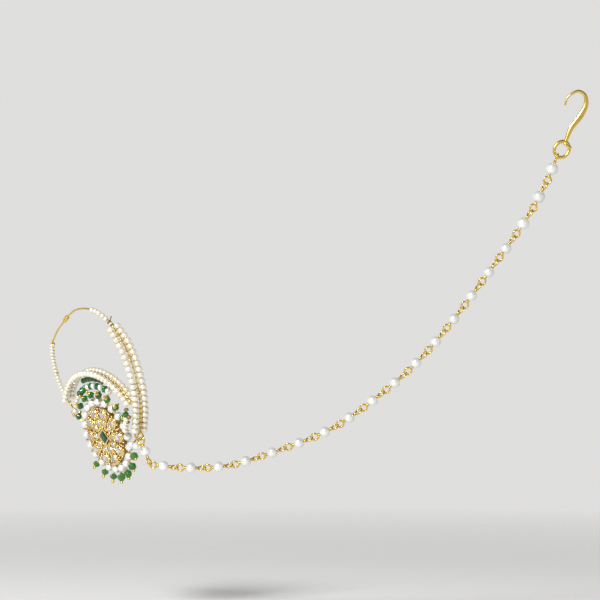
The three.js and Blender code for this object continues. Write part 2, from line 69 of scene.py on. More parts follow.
# %% [markdown]
# ## Shader maths as plain expressions
# A material is a tree of nodes. Writing `1 - fade` or `marks * 0.16 + gloss` is easier to read
# than the nodes and links for it, so a small class wraps a socket and adds the Math nodes.


# %% A socket that understands arithmetic
class Value:
    def __init__(self, tree, socket):
        self.tree = tree
        self.socket = socket

    def _math(self, operation, first, second):
        node = self.tree.nodes.new("ShaderNodeMath")
        node.operation = operation
        for entry, item in zip(node.inputs, (first, second)):
            if isinstance(item, Value):
                self.tree.links.new(item.socket, entry)
            else:
                entry.default_value = item
        return Value(self.tree, node.outputs[0])

    def __add__(self, other):
        return self._math("ADD", self, other)

    def __rsub__(self, other):
        return self._math("SUBTRACT", other, self)

    def __mul__(self, other):
        return self._math("MULTIPLY", self, other)

    def __pow__(self, other):
        return self._math("POWER", self, other)


# %% A material under construction
class Finish:
    def __init__(self, name):
        self.material = bpy.data.materials.new(name)
        self.material.use_nodes = True
        self.tree = self.material.node_tree
        self.tree.nodes.clear()
        self.shader = self.tree.nodes.new("ShaderNodeBsdfPrincipled")
        output = self.tree.nodes.new("ShaderNodeOutputMaterial")
        self.tree.links.new(self.shader.outputs[0], output.inputs["Surface"])

    def put(self, kind, settings=None, values=None, out=0):
        node = self.tree.nodes.new(kind)
        for name, setting in (settings or {}).items():
            setattr(node, name, setting)
        for name, value in (values or {}).items():
            self.join(node.inputs[name], value)
        return Value(self.tree, node.outputs[out])

    def join(self, entry, value):
        if isinstance(value, Value):
            self.tree.links.new(value.socket, entry)
        else:
            entry.default_value = value

    def set(self, **values):
        for name, value in values.items():
            self.join(self.shader.inputs[name.replace("_", " ")], value)
        return self

    def place(self):
        return self.put("ShaderNodeTexCoord", out="Object")

    def noise(self, scale, detail=2.0):
        values = {"Vector": self.place(), "Scale": scale, "Detail": detail}
        return self.put("ShaderNodeTexNoise", values=values, out="Fac")

    def mix(self, share, first, second):
        values = {"Factor": share, 6: first, 7: second}
        return self.put("ShaderNodeMix", {"data_type": "RGBA"}, values, out=2)

    def bump(self, height, strength, distance):
        values = {"Height": height, "Strength": strength, "Distance": distance}
        return self.put("ShaderNodeBump", values=values)

    # A random tone per copy, and on cut stones a painted light and dark flash per facet
    def tint_and_flash(self):
        return self.put("ShaderNodeAttribute", {"attribute_name": "tint_and_flash"}, out="Fac")


# %% [markdown]
# ## Gold
# The gold is plated brass: a warm yellow that goes orange in its shade, polished, with fine
# rub marks. Two noises do it: a wide one turns the colour, and a fine one varies the gloss.


# %% Gold finishes
def gold_finish(name, bright, deep, gloss, grain):
    look = Finish(name)
    drift = look.noise(420.0)
    marks = look.noise(2600.0, 4.0)
    look.set(Base_Color=look.mix(drift, deep, bright), Metallic=1.0)
    look.set(Roughness=marks * 0.16 + gloss)
    look.set(Normal=look.bump(marks, grain, 0.00004))
    return look.material


YELLOW = ((0.92, 0.66, 0.17, 1), (0.74, 0.49, 0.09, 1))
PALE = ((1.0, 0.86, 0.46, 1), (0.88, 0.64, 0.24, 1))
# The darker orange gold is partly the disc's own tone and partly painted shade for its sunk front and
# side wall
SHADED_ORANGE = ((0.60, 0.37, 0.10, 1), (0.32, 0.17, 0.035, 1))
DARK = ((0.50, 0.38, 0.15, 1), (0.20, 0.14, 0.06, 1))
COPPER = ((0.84, 0.58, 0.26, 1), (0.52, 0.31, 0.12, 1))
gold = gold_finish("yellow gold", *YELLOW, 0.14, 0.12)
granule_gold = gold_finish("granulated gold", *PALE, 0.13, 0.3)
shaded_wall_gold = gold_finish("orange gold wall with painted shade", *SHADED_ORANGE, 0.28, 0.5)
old_gold = gold_finish("dark binding wire", *DARK, 0.3, 0.4)
copper_gold = gold_finish("copper bead", *COPPER, 0.2, 0.3)
print("gold finishes ready")

# %% [markdown]
# ## Pearl
# A pearl is soft cream or white under a clear skin, and its lustre is a blurred image of the
# room. A finish that is partly metallic under a clear coat gives both. Every pearl differs a
# little, so each copy carries a tint number that shifts its colour, and a noise clouds it.


# %% Pearl finishes
def pearl_finish(name, light, warm, cloud, coat):
    look = Finish(name)
    body = look.mix(look.tint_and_flash(), light, warm)
    look.set(Base_Color=look.mix(look.noise(700.0) * 0.08, body, cloud))
    look.set(Roughness=look.noise(1800.0) * 0.08 + 0.24)
    look.set(Metallic=0.4, Coat_Weight=coat, Coat_Roughness=0.06, IOR=1.7)
    return look.material


CREAM = ((0.93, 0.90, 0.78, 1), (0.86, 0.80, 0.62, 1), (0.30, 0.24, 0.11, 1))
WHITE = ((0.90, 0.91, 0.90, 1), (0.84, 0.84, 0.81, 1), (0.30, 0.31, 0.31, 1))
cream_pearl = pearl_finish("cream seed pearl", *CREAM, 0.9)
white_pearl = pearl_finish("white pearl", *WHITE, 1.0)
print("pearl finishes ready")

# %% [markdown]
# ## Glass and stones
# The green beads are nearly opaque glass, so only a small share of the light goes through,
# and a thin clear coat gives the shine. The cut stones' facets carry painted light: each facet
# gets its own tone, from a painted dark reflection to a painted bright glint.


# %% Glass finishes
def glass_finish(name, light, deep, through, gloss):
    look = Finish(name)
    # The number is a random tone per bead, and on the centre stone a painted flash per facet
    tone = look.mix(look.tint_and_flash(), light, deep)
    look.set(Base_Color=look.mix(look.noise(900.0) * 0.6, tone, deep))
    look.set(Roughness=look.noise(1500.0) * 0.08 + gloss)
    look.set(Transmission_Weight=through, IOR=1.5, Coat_Weight=0.3, Coat_Roughness=0.05)
    return look.material


BOTTLE = ((0.016, 0.24, 0.022, 1), (0.004, 0.08, 0.008, 1))
LEAF = ((0.08, 0.27, 0.028, 1), (0.02, 0.12, 0.012, 1))
DEEP = ((0.0, 0.12, 0.035, 1), (0.0, 0.022, 0.008, 1))
green_glass = glass_finish("green glass", *BOTTLE, 0.1, 0.07)
leaf_glass = glass_finish("leaf green glass", *LEAF, 0.15, 0.09)
deep_glass = glass_finish("deep green stone", *DEEP, 0.1, 0.04)


def clear_finish(name, shade, flash):
    look = Finish(name)
    # Painted light: each facet's number picks its tone between a dark reflection and a bright glint
    tone = look.mix(look.tint_and_flash() ** 1.2, shade, flash)
    look.set(Base_Color=tone, Roughness=look.noise(1500.0) * 0.05 + 0.04)
    look.set(Transmission_Weight=0.3, IOR=1.9, Coat_Weight=1.0, Coat_Roughness=0.03)
    return look.material


# Painted reflections: a dark facet and a bright glinting one
clear_stone = clear_finish("clear stone", (0.36, 0.30, 0.34, 1), (1.0, 0.97, 0.98, 1))
print("glass finishes ready")

# %% [markdown]
# ## The hoop's own frame
# The hoop hangs turned and leaned. All of its pearls are laid out flat in its plane first,
# in millimetres, and one matrix then puts them where the solids are.

# %% Places round the hoop
HOOP_RADIUS = 27.0
HOOP_REACH = (0.937, 1.01, 1.076, 1.035, 0.967, 1.03, 0.995, 0.943, 0.98, 1.015, 1.035, 0.945)
HOOP_TURN, HOOP_LEAN, PIERCE_ANGLE = -52, 18, 114.4
# The jewel's outer side, away from the cheek
OUTER = Vector((0, -1, 0))
WIRE, SEAT_GAP, RING_PEARL = 0.7, 0.3, 3.1
FLOWER_SIDE, FLOWER_DROP = -0.022 * HOOP_RADIUS, 0.809 * HOOP_RADIUS


def cubic(start, end, start_slope, end_slope, t):
    """A place on the smooth curve from start to end that has the two slopes at its ends."""
    bend = 3 * end - 3 * start - 2 * start_slope - end_slope
    return (2 * start - 2 * end + start_slope + end_slope) * t**3 + bend * t**2 + start_slope * t + start


def hoop_point(angle, outward=0.0, back=0.0):
    count = len(HOOP_REACH)
    place = (angle * count / 360) % count
    before = int(place)
    t = place - before
    a, b, c, d = (HOOP_REACH[(before + step) % count] for step in (-1, 0, 1, 2))
    reach = HOOP_RADIUS * cubic(b, c, (c - a) / 2, (d - b) / 2, t) + outward
    return Vector((reach * math.cos(math.radians(angle)), back, reach * math.sin(math.radians(angle))))


hoop_turn = Matrix.Rotation(math.radians(HOOP_TURN), 4, "Z")
hoop_turn = hoop_turn @ Matrix.Rotation(math.radians(HOOP_LEAN), 4, "X")
hoop_place = Matrix.Translation(-(hoop_turn @ hoop_point(PIERCE_ANGLE))) @ hoop_turn


def hoop_along(angle):
    """The wire's direction at an angle, as a vector over two degrees of the hoop."""
    return hoop_place.to_3x3() @ (hoop_point(angle + 1) - hoop_point(angle - 1))


FLOWER_MIDDLE = Vector((FLOWER_SIDE, -(WIRE / 2 + SEAT_GAP + RING_PEARL / 2), -FLOWER_DROP))
flower_place = hoop_place @ Matrix.Translation(FLOWER_MIDDLE)
flower_turn = flower_place.to_3x3()
print("flower's middle, mm:", [round(c, 1) for c in flower_place.translation])


# %% Places round the flower
def flower_point(angle, radius, back=0.0):
    return Vector((radius * math.cos(math.radians(angle)), back, radius * math.sin(math.radians(angle))))


def span_round_flower(node):
    """The first and last angle of a node round the flower, in degrees, read from its solid."""
    inward = flower_place.inverted()
    points = [inward @ (v.co / MM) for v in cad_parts[node].data.vertices]
    angles = [math.degrees(math.atan2(p.z, p.x)) for p in points]
    return min(angles), max(angles)


print("front crescent row runs from, to:", [round(a, 1) for a in span_round_flower("crescent_front_row")])

# %% [markdown]
# ## Copies and rows
# A pearl or bead is modelled once. A row is then one mesh that holds a copy of it at every
# place, which is how a stringer works too: one bead after another on a line.


# %% Modelling helpers
def start(primitive, **values):
    bpy.ops.object.select_all(action="DESELECT")
    primitive(**values)
    return bpy.context.object


def choose(*pieces):
    """Select only these pieces and make the first one active."""
    bpy.ops.object.select_all(action="DESELECT")
    for piece in pieces:
        piece.select_set(True)
    bpy.context.view_layer.objects.active = pieces[0]


def top_faces(middle, normal):
    return normal.z > 0.9


def extrude(height, share=1.0):
    """Pull the chosen faces out along Z and scale them to a share of their width."""
    bpy.ops.mesh.extrude_region_move(TRANSFORM_OT_translate={"value": (0, 0, height)})
    bpy.ops.transform.resize(value=(share, share, 1))


def edit_faces(piece, wanted):
    """Go into edit mode with only the faces chosen by their middle and normal."""
    bpy.ops.object.mode_set(mode="EDIT")
    bpy.ops.mesh.select_mode(type="FACE")
    bpy.ops.mesh.select_all(action="DESELECT")
    shape = bmesh.from_edit_mesh(piece.data)
    for face in shape.faces:
        face.select_set(bool(wanted(face.calc_center_median(), face.normal)))
    bmesh.update_edit_mesh(piece.data)


def leave_edit():
    bpy.ops.object.mode_set(mode="OBJECT")


def round_edges(piece, width, segments):
    """Bevel the piece's sharp edges with a modifier and apply it."""
    bevel = piece.modifiers.new("round edges", "BEVEL")
    bevel.width = width
    bevel.segments = segments
    bevel.limit_method = "ANGLE"
    bpy.ops.object.modifier_apply(modifier=bevel.name)


def take_mesh(piece):
    """Keep the modelled mesh and drop the object that it was made on."""
    mesh = piece.data
    bpy.data.objects.remove(piece)
    return mesh


def copies(model, places, seed=1):
    """One mesh with the model at every place, and a tint number for each copy."""
    draw = random.Random(seed)
    corners = np.array([v.co for v in model.vertices])
    faces = [tuple(p.vertices) for p in model.polygons]
    smooth = [p.use_smooth for p in model.polygons]
    spots = np.vstack([corners @ np.array(p.to_3x3()).T + np.array(p.translation) for p in places])
    joined = [tuple(c + n * len(corners) for c in face) for n in range(len(places)) for face in faces]
    mesh = bpy.data.meshes.new("copies")
    mesh.from_pydata((spots * MM).tolist(), [], joined)
    mesh.polygons.foreach_set("use_smooth", smooth * len(places))
    # A random tone for each copy; on cut stones it is later set per facet to paint glints and dark
    # reflections
    tints = np.repeat([draw.random() for _ in places], len(corners)).astype(np.float32)
    mesh.attributes.new("tint_and_flash", "FLOAT", "POINT").data.foreach_set("value", tints)
    return mesh


def settle(mesh, name, look, replaced=()):
    """Make the finished piece: its object at the origin, its look, and its place in the frame."""
    piece = bpy.data.objects.new(name, mesh)
    mesh.name = name
    bpy.context.scene.collection.objects.link(piece)
    mesh.materials.clear()
    mesh.materials.append(look)
    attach(piece, "root")
    if replaced:
        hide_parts(*replaced)
    print(name, "has", len(mesh.polygons), "faces")
    return piece


# %% Paths and the places along them
LINE_STEPS = 160


def sample(path):
    return [path(n / LINE_STEPS) for n in range(LINE_STEPS + 1)]


def stand(middle, along, side, size=(1, 1, 1)):
    """A matrix that stands a model's +Z along a direction, with its +X near the side given."""
    up = along.normalized()
    across = (side - up * side.dot(up)).normalized()
    turn = Matrix((across, up.cross(across), up)).transposed().to_4x4()
    return Matrix.Translation(middle) @ turn @ Matrix.Diagonal((*size, 1))


def bead_places(points, pitch, size, seed, sway=0.04):
    """Evenly strung places along a line of points. The size is across and along the line."""
    draw = random.Random(seed)
    gaps = [(b - a).length for a, b in zip(points, points[1:])]
    total = sum(gaps)
    count = max(1, round(total / pitch))
    places = []
    for n in range(count):
        wanted = (n + 0.5) * total / count
        leg = 0
        while leg < len(gaps) - 1 and wanted > gaps[leg]:
            wanted -= gaps[leg]
            leg += 1
        along = points[leg + 1] - points[leg]
        middle = points[leg] + along.normalized() * wanted
        swell = 1 + draw.uniform(-sway, sway)
        across = size[0] / 2 * swell
        lean = Vector([draw.uniform(-0.06, 0.06) for _ in range(3)])
        side = Vector((0.2, -1, 0.3))
        places.append(stand(middle, along.normalized() + lean, side, (across, across, size[1] / 2)))
    return places


def hoop_line(start_angle, end_angle, outward):
    step = end_angle - start_angle
    return [hoop_place @ p for p in sample(lambda t: hoop_point(start_angle + step * t, outward))]


def flower_line(start_angle, end_angle, radius):
    step = end_angle - start_angle
    return [flower_place @ p for p in sample(lambda t: flower_point(start_angle + step * t, radius))]


# %% [markdown]
# ## Wires
# A wire is a curve with a round bevel, made a mesh when its line is right. A wrap is the
# same thing on a line that winds round the piece it binds.


# %% Wire helpers
def wires(lines, thickness, closed=False, sides=3, swell=None):
    """One mesh of round wires, each along its own line of points in millimetres. The swell is a
    share of the thickness for each point of the line."""
    curve = bpy.data.curves.new("wires", "CURVE")
    curve.dimensions = "3D"
    curve.bevel_depth = thickness / 2 * MM
    curve.bevel_resolution = sides
    curve.use_fill_caps = not closed
    for line in lines:
        spline = curve.splines.new("POLY")
        spline.points.add(len(line) - 1)
        for n, (point, place) in enumerate(zip(spline.points, line)):
            point.co = (*(place * MM), 1)
            if swell:
                point.radius = swell[n]
        spline.use_cyclic_u = closed
        spline.use_smooth = True
    holder = bpy.data.objects.new("wires", curve)
    bpy.context.scene.collection.objects.link(holder)
    choose(holder)
    bpy.ops.object.convert(target="MESH")
    piece = bpy.context.object
    shape = bmesh.new()
    shape.from_mesh(piece.data)
    bmesh.ops.remove_doubles(shape, verts=shape.verts, dist=1e-7)
    bmesh.ops.recalc_face_normals(shape, faces=shape.faces)
    for face in shape.faces:
        face.smooth = len(face.verts) <= 4
    shape.to_mesh(piece.data)
    shape.free()
    return take_mesh(piece)


def winding(middle, along, radius, length, turns, side=Vector((0, -1, 0.2)), steps=14):
    """The line of a wire that winds round an axis."""
    place = stand(middle, along, side)
    line = []
    for n in range(int(turns * steps) + 1):
        turn = 2 * math.pi * n / steps
        rise = length * (n / (turns * steps) - 0.5)
        line.append(place @ Vector((radius * math.cos(turn), radius * math.sin(turn), rise)))
    return line


def join_meshes(meshes):
    """Several meshes as one, all in the same look."""
    shape = bmesh.new()
    for mesh in meshes:
        shape.from_mesh(mesh)
    joined = bpy.data.meshes.new("joined")
    shape.to_mesh(joined)
    shape.free()
    return joined


# %% [markdown]
# ## The pearls' models
# A pearl starts as a sphere. Its two poles are pushed in, because a drilled pearl has a
# small hollow at each end where the wire goes through.


# %% Model one pearl
def pearl_model(segments, rings, hollow):
    piece = start(bpy.ops.mesh.primitive_uv_sphere_add, segments=segments, ring_count=rings, radius=1.0)
    edit_faces(piece, lambda middle, normal: abs(normal.z) > math.cos(math.pi / rings * 1.02))
    bpy.ops.mesh.inset(thickness=0.04)
    leave_edit()
    for vertex in piece.data.vertices:
        reach = math.hypot(vertex.co.x, vertex.co.y)
        if reach < 0.001:
            vertex.co.z -= math.copysign(hollow, vertex.co.z)
    bpy.ops.object.shade_smooth()
    return take_mesh(piece)


seed_pearl = pearl_model(14, 9, 0.10)
round_pearl = pearl_model(28, 18, 0.05)
print("seed pearl faces:", len(seed_pearl.polygons), "round pearl faces:", len(round_pearl.polygons))


# %% Model one cut bead
def cut_bead_model(sides, waist, end):
    """A glass bead ground to flat facets: a belt, and a slope down to each drilled end."""
    piece = start(bpy.ops.mesh.primitive_cylinder_add, vertices=sides, radius=1.0, depth=waist * 2)
    shoulder = 0.86
    for direction in (1, -1):
        edit_faces(piece, lambda middle, normal: normal.z * direction > 0.9)
        extrude(direction * (shoulder - waist), end)
        bpy.ops.mesh.inset(thickness=end * 0.35)
        bpy.ops.transform.translate(value=(0, 0, direction * 0.1))
        leave_edit()
    round_edges(piece, 0.06, 1)
    return take_mesh(piece)


cut_bead = cut_bead_model(8, 0.34, 0.42)
print("cut bead faces:", len(cut_bead.polygons))

# %% [markdown]
# ## The hoop
# One bent gold wire goes all the way round, with a plain barrel where its ends meet in the
# nostril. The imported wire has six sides, so a round one stands for it here. It bows outward a
# little under the far pearls and is thinner between the two cheek rows, which hide it there.

# %% Hoop wire and its barrel
CATCH_LENGTH = 3.2
CATCH_THICKNESS = 1.7


def catch_model():
    piece = start(bpy.ops.mesh.primitive_cylinder_add, vertices=24, radius=1.0, depth=2.0)
    edit_faces(piece, lambda middle, normal: abs(normal.z) > 0.9)
    bpy.ops.mesh.inset(thickness=0.3)
    leave_edit()
    round_edges(piece, 0.25, 3)
    bpy.ops.object.shade_smooth()
    return take_mesh(piece)


FAR_FROM, FAR_TO, FAR_OUT, FAR_EASE = 151.0, 201.0, 0.8, 8.0
THIN_FROM, THIN_TO, THIN_SHARE = 312, 46, 0.75


def far_bend(angle):
    """How far the wire bows outward, so that it runs through the far pearls' middles."""
    lead = min(max((angle - FAR_FROM + FAR_EASE) / FAR_EASE, 0), 1)
    lead *= min(max((FAR_TO + FAR_EASE - angle) / FAR_EASE, 0), 1)
    return FAR_OUT * (3 * lead**2 - 2 * lead**3)


round_line = [hoop_place @ hoop_point(angle, far_bend(angle)) for angle in range(0, 360, 2)]
worn_thin = [THIN_SHARE if angle < THIN_TO or angle > THIN_FROM else 1.0 for angle in range(0, 360, 2)]
hoop_round = wires([round_line], WIRE, closed=True, sides=4, swell=worn_thin)
catch_size = (CATCH_THICKNESS / 2, CATCH_THICKNESS / 2, CATCH_LENGTH / 2)
catch_place = stand(Vector((0, 0, 0)), hoop_along(PIERCE_ANGLE), OUTER, catch_size)
catch = copies(catch_model(), [catch_place])
settle(join_meshes([hoop_round, catch]), "hoop_gold_wire", gold, ["hoop_wire"])

# %% [markdown]
# ## Pearls on the hoop
# Five pearls ride on the wire itself and grow a little towards the binding. Two rows lie
# along the cheek side, before and behind the wire, and a finer row is threaded on the far side.

# %% Pearls threaded on the wire
TOP_FROM, TOP_TO, TOP_COUNT = 73.2, 56.4, 5
TOP_PEARL, TOP_GROWTH, TOP_HALF_LENGTH = 2.1, 0.25, 0.95
top_places = []
for n in range(TOP_COUNT):
    angle = TOP_FROM + (TOP_TO - TOP_FROM) * n / (TOP_COUNT - 1)
    across = (TOP_PEARL + TOP_GROWTH * n / (TOP_COUNT - 1)) / 2
    size = (across, across, TOP_HALF_LENGTH)
    top_places.append(stand(hoop_place @ hoop_point(angle), -hoop_along(angle), OUTER, size))
top_pearls = copies(seed_pearl, top_places, 3)
settle(top_pearls, "top_seed_pearls", cream_pearl, ["top_pearl_string"])

# %% The two cheek rows and the far row
STRAND_FROM, STRAND_TO, STRAND_TWIST = 48.6, -49.3, math.radians(12)
STRAND_PEARL, STRAND_SPREAD, STRAND_DRAWN_IN = 2.5, 0.16, 0.3
STRAND_PITCH, STRAND_SIZE = 2.34, (3.0, 2.42)
FAR_PITCH, FAR_SIZE = 1.34, (2.1, 1.4)
strand_offset = WIRE / 2 + SEAT_GAP + STRAND_PEARL / 2
strand_out = strand_offset * math.sin(STRAND_TWIST)
strand_back = strand_offset * math.cos(STRAND_TWIST)


def strand_line(side):
    """A cheek row: it starts close to the wire and spreads to its full distance below."""
    line = []
    for n in range(LINE_STEPS + 1):
        share = n / LINE_STEPS
        spread = side * (1 - STRAND_DRAWN_IN * max(1 - share / STRAND_SPREAD, 0) ** 1.5)
        angle = STRAND_FROM + (STRAND_TO - STRAND_FROM) * share
        line.append(hoop_place @ hoop_point(angle, strand_out * spread, strand_back * spread))
    return line


back_line, front_line = strand_line(1), strand_line(-1)
far_line = hoop_line(FAR_FROM, FAR_TO, FAR_OUT)
for name, line, pitch, size, node in (
    ("back_seed_pearls", back_line, STRAND_PITCH, STRAND_SIZE, "back_pearl_strand"),
    ("front_seed_pearls", front_line, STRAND_PITCH, STRAND_SIZE, "front_pearl_strand"),
    ("far_seed_pearls", far_line, FAR_PITCH, FAR_SIZE, "far_pearl_strand"),
):
    places = bead_places(line, pitch, size, seed=len(name))
    settle(copies(seed_pearl, places, len(name)), name, cream_pearl, [node])

# %% [markdown]
# ## Bindings
# Dark wire is wound round the hoop above the two rows and its cut end stands up. Finer gold
# wire runs through the pearls, crosses from row to row and ties the rows to the hoop.

# %% The dark binding with its cut end
BINDING_ANGLE, LOWER_BINDING_ANGLE, BINDING_PEARL_ANGLE = 52.0, 48.9, 50.3
BINDING_WIRE = 0.42


def hoop_winding(angle, radius, length, turns):
    return winding(hoop_place @ hoop_point(angle), hoop_along(angle), radius, length, turns)


outward = (hoop_place.to_3x3() @ hoop_point(BINDING_ANGLE)).normalized()
tail_foot = hoop_place @ hoop_point(BINDING_ANGLE) + outward * 0.8
tail_bend = hoop_along(BINDING_ANGLE).normalized() * -0.35
tail = [tail_foot, tail_foot + outward * 1.1 + tail_bend * 0.4, tail_foot + outward * 2.5 + tail_bend]
upper_wind = hoop_winding(BINDING_ANGLE, radius=0.66, length=0.9, turns=2.5)
lower_wind = hoop_winding(LOWER_BINDING_ANGLE, radius=0.6, length=0.6, turns=1.5)
binding_wires = wires([upper_wind, lower_wind, tail], BINDING_WIRE)
settle(binding_wires, "dark_binding", old_gold, ["top_binding"])
binding_middle = hoop_place @ hoop_point(BINDING_PEARL_ANGLE)
binding_pearl = stand(binding_middle, hoop_along(50), OUTER, (0.98, 0.98, 0.6))
settle(copies(seed_pearl, [binding_pearl], 5), "binding_pearl", cream_pearl)

# %% Gold threads and end ties
THREAD, CROSS_TIES, TIE_REACH = 0.26, 21, 0.55
threads = [line[::4] for line in (back_line, front_line, far_line)]
for n in range(1, CROSS_TIES):
    spot = round(n * LINE_STEPS / CROSS_TIES)
    middle = (back_line[spot] + front_line[spot]) / 2
    over = (middle - hoop_place.translation).normalized() * TIE_REACH
    threads.append([back_line[spot], middle + over, front_line[spot], middle - over, back_line[spot]])
CHEEK_TIES, FAR_TIES = (46.6, 20.0, -10.0, -40.0, -49.2), (150.2, 176.0, 202.0)
ties = [hoop_winding(angle, radius=0.55, length=0.9, turns=2.5) for angle in CHEEK_TIES]
ties += [hoop_winding(angle, radius=0.5, length=0.7, turns=2) for angle in FAR_TIES]
settle(wires(threads + ties, THREAD), "hoop_gold_threads", gold)

# %% [markdown]
# ## The crescent
# Two rows of seed pearls arch over the flower, tied to a wire between them. Under them come
# a few dark green beads, and then a row where white flat beads and green beads take turns.

# %% Crescent rows, each as long as its solid
CRESCENT_RADIUS, CRESCENT_BACK, CRESCENT_PITCH = 25.41, 1.75, 2.12
CRESCENT_SIZE, ROW_END = (2.65, 2.2), 0.6
DRAWN_IN, DRAWN_FROM, DRAWN_OVER = 1.2, 105, 45
crescent_lines = []
for name, node, back in (
    ("crescent_front_pearls", "crescent_front_row", -CRESCENT_BACK),
    ("crescent_back_pearls", "crescent_back_row", CRESCENT_BACK),
):
    low, high = span_round_flower(node)
    line = []
    for n in range(LINE_STEPS + 1):
        angle = low + ROW_END + (high - low - 2 * ROW_END) * n / LINE_STEPS
        inward = DRAWN_IN * min(max((angle - DRAWN_FROM) / DRAWN_OVER, 0), 1) ** 1.5
        line.append(flower_place @ flower_point(angle, CRESCENT_RADIUS - inward, back))
    crescent_lines.append(line)
    places = bead_places(line, CRESCENT_PITCH, CRESCENT_SIZE, seed=len(name))
    settle(copies(seed_pearl, places, len(name)), name, cream_pearl, [node])

low, high = span_round_flower("crescent_wire")
wire_line = flower_line(low, high, CRESCENT_RADIUS)
CRESCENT_WIRE, WRAP_WIRE, WRAP_START, WRAP_PITCH = 0.6, 0.28, 1.2, 4.7
wraps = []
angle = low + WRAP_START
while angle < high:
    middle = flower_place @ flower_point(angle, CRESCENT_RADIUS)
    along = flower_turn @ (flower_point(angle + 1, 1) - flower_point(angle - 1, 1))
    wraps.append(winding(middle, along, radius=0.48, length=0.8, turns=2.0))
    angle += WRAP_PITCH
spines = [line[::4] for line in crescent_lines]
crescent_gold = join_meshes([wires([wire_line[::2]], CRESCENT_WIRE), wires(wraps + spines, WRAP_WIRE)])
settle(crescent_gold, "crescent_gold_wire", gold, ["crescent_wire"])

# %% Green beads under the crescent
GREEN_RADIUS, GREEN_FROM, GREEN_TO = 22.66, 71, 109
GREEN_PITCH, GREEN_SIZE = 2.2, (2.2, 2.0)
green_line = flower_line(GREEN_FROM, GREEN_TO, GREEN_RADIUS)
green_places = bead_places(green_line, GREEN_PITCH, GREEN_SIZE, seed=11, sway=0.06)
green_beads = copies(cut_bead, green_places, 11)
settle(green_beads, "green_row_beads", green_glass, ["green_bead_row"])


# %% White flat beads and green beads in turn
MIXED_RADIUS, MIXED_FROM, MIXED_TO, MIXED_THREAD = 19.81, 60, 155, 0.3
white_places, leaf_places, small_places = [], [], []
# Each kind of bead has its angles round the flower, its width and length, and its slant
kinds = (
    (white_places, (64, 77, 90, 102), (3.0, 1.9), 26),
    (leaf_places, (70.5, 83.5, 96, 108.5, 116, 123.5), (2.8, 2.2), 10),
    (small_places, (131, 138, 145, 152), (2.1, 1.9), 0),
)
for places, angles, size, slant in kinds:
    for angle in angles:
        middle = flower_place @ flower_point(angle, MIXED_RADIUS)
        along = flower_turn @ (flower_point(angle - 1, 1) - flower_point(angle + 1, 1))
        side = flower_turn @ flower_point(angle, 1)
        tipped = Matrix.Rotation(math.radians(slant), 3, flower_turn @ OUTER) @ along
        places.append(stand(middle, tipped, side, (size[0] / 2, size[0] / 2, size[1] / 2)))
mixed_green = copies(cut_bead, leaf_places, 21)
settle(mixed_green, "mixed_green_beads", green_glass, ["mixed_bead_row"])
settle(copies(seed_pearl, white_places, 22), "mixed_white_beads", white_pearl)
settle(copies(seed_pearl, small_places, 23), "mixed_small_pearls", cream_pearl)
mixed_threads = [flower_line(MIXED_FROM, MIXED_TO, MIXED_RADIUS)[::4]]
mixed_threads.append(flower_line(GREEN_FROM - 1, GREEN_TO + 1, GREEN_RADIUS)[::4])
settle(wires(mixed_threads, MIXED_THREAD), "mixed_row_threads", gold)

# %% Leg of pearls at the crescent's right foot
LEG_PEARL, LEG_PITCH, LEG_SIZE, LEG_THREAD = 2.2, 1.9, (2.5, 1.95), 0.3
PIN_END, PIN_WIRE = 15.1, 0.5
strand_depth = strand_back + STRAND_PEARL / 2 + SEAT_GAP + LEG_PEARL / 2
leg_start = flower_point(24, 21.4, -strand_depth - FLOWER_MIDDLE.y)
leg_end = flower_point(9, PIN_END, -((PIN_WIRE + LEG_PEARL) / 2 + SEAT_GAP))
leg_line = [flower_place @ leg_start.lerp(leg_end, n / 20) for n in range(21)]
leg_pearls = copies(seed_pearl, bead_places(leg_line, LEG_PITCH, LEG_SIZE, 31), 31)
settle(leg_pearls, "leg_pearls", cream_pearl, ["pearl_leg"])
settle(wires([leg_line], LEG_THREAD), "leg_thread", gold)

# %% Dark green and old gold beads between the crescent's foot and the leg
foot_ahead = leg_start.y + 0.2
# Each bead has its angle round the flower, its reach from the middle, its width and its length
foot_spots = (
    (27.0, 21.6, 2.5, 2.1), (22.5, 22.6, 2.0, 1.7), (29.5, 23.6, 1.9, 1.6), (19.0, 20.4, 1.7, 1.4),
)
foot_beads = []
for angle, reach, across, along in foot_spots:
    middle = flower_place @ flower_point(angle, reach, foot_ahead)
    way = flower_turn @ (flower_point(angle, 0.6) + flower_point(angle + 90, 0.8))
    foot_beads.append(stand(middle, way, OUTER, (across / 2, across / 2, along / 2)))
settle(copies(cut_bead, foot_beads[:1], 32), "foot_green_bead", green_glass)
settle(copies(cut_bead, foot_beads[1:], 33), "foot_gold_beads", old_gold)

# %% [markdown]
# ## The flower
# The flower is a thick pierced disc. Each petal is a wire outline round a large stone and a
# small one, with gold granules in the gaps. The disc and its side wall are a darker orange
# gold, which is partly its own tone and partly painted shade in the gaps and on the wall.

# %% Disc of the flower
DISC_RADIUS, DISC_HALF, HOLE_CIRCLE, HOLE_RADIUS = 11.7, 1.1, 7.43, 0.65
PETALS = 10
PETAL_TURN = 360 / PETALS
LOBE_MIDDLE, LOBE_DEPTH = 0.955, 0.045
# Shares of the disc's radius and of half its thickness
RIM_WIDTH, FRONT_HOLLOW = 0.05, 0.22
petal_angles = [PETAL_TURN * n for n in range(PETALS)]
gap_angles = [PETAL_TURN * (n + 0.5) for n in range(PETALS)]
FLOWER_FRONT = flower_place @ Matrix.Rotation(math.radians(90), 4, "X")


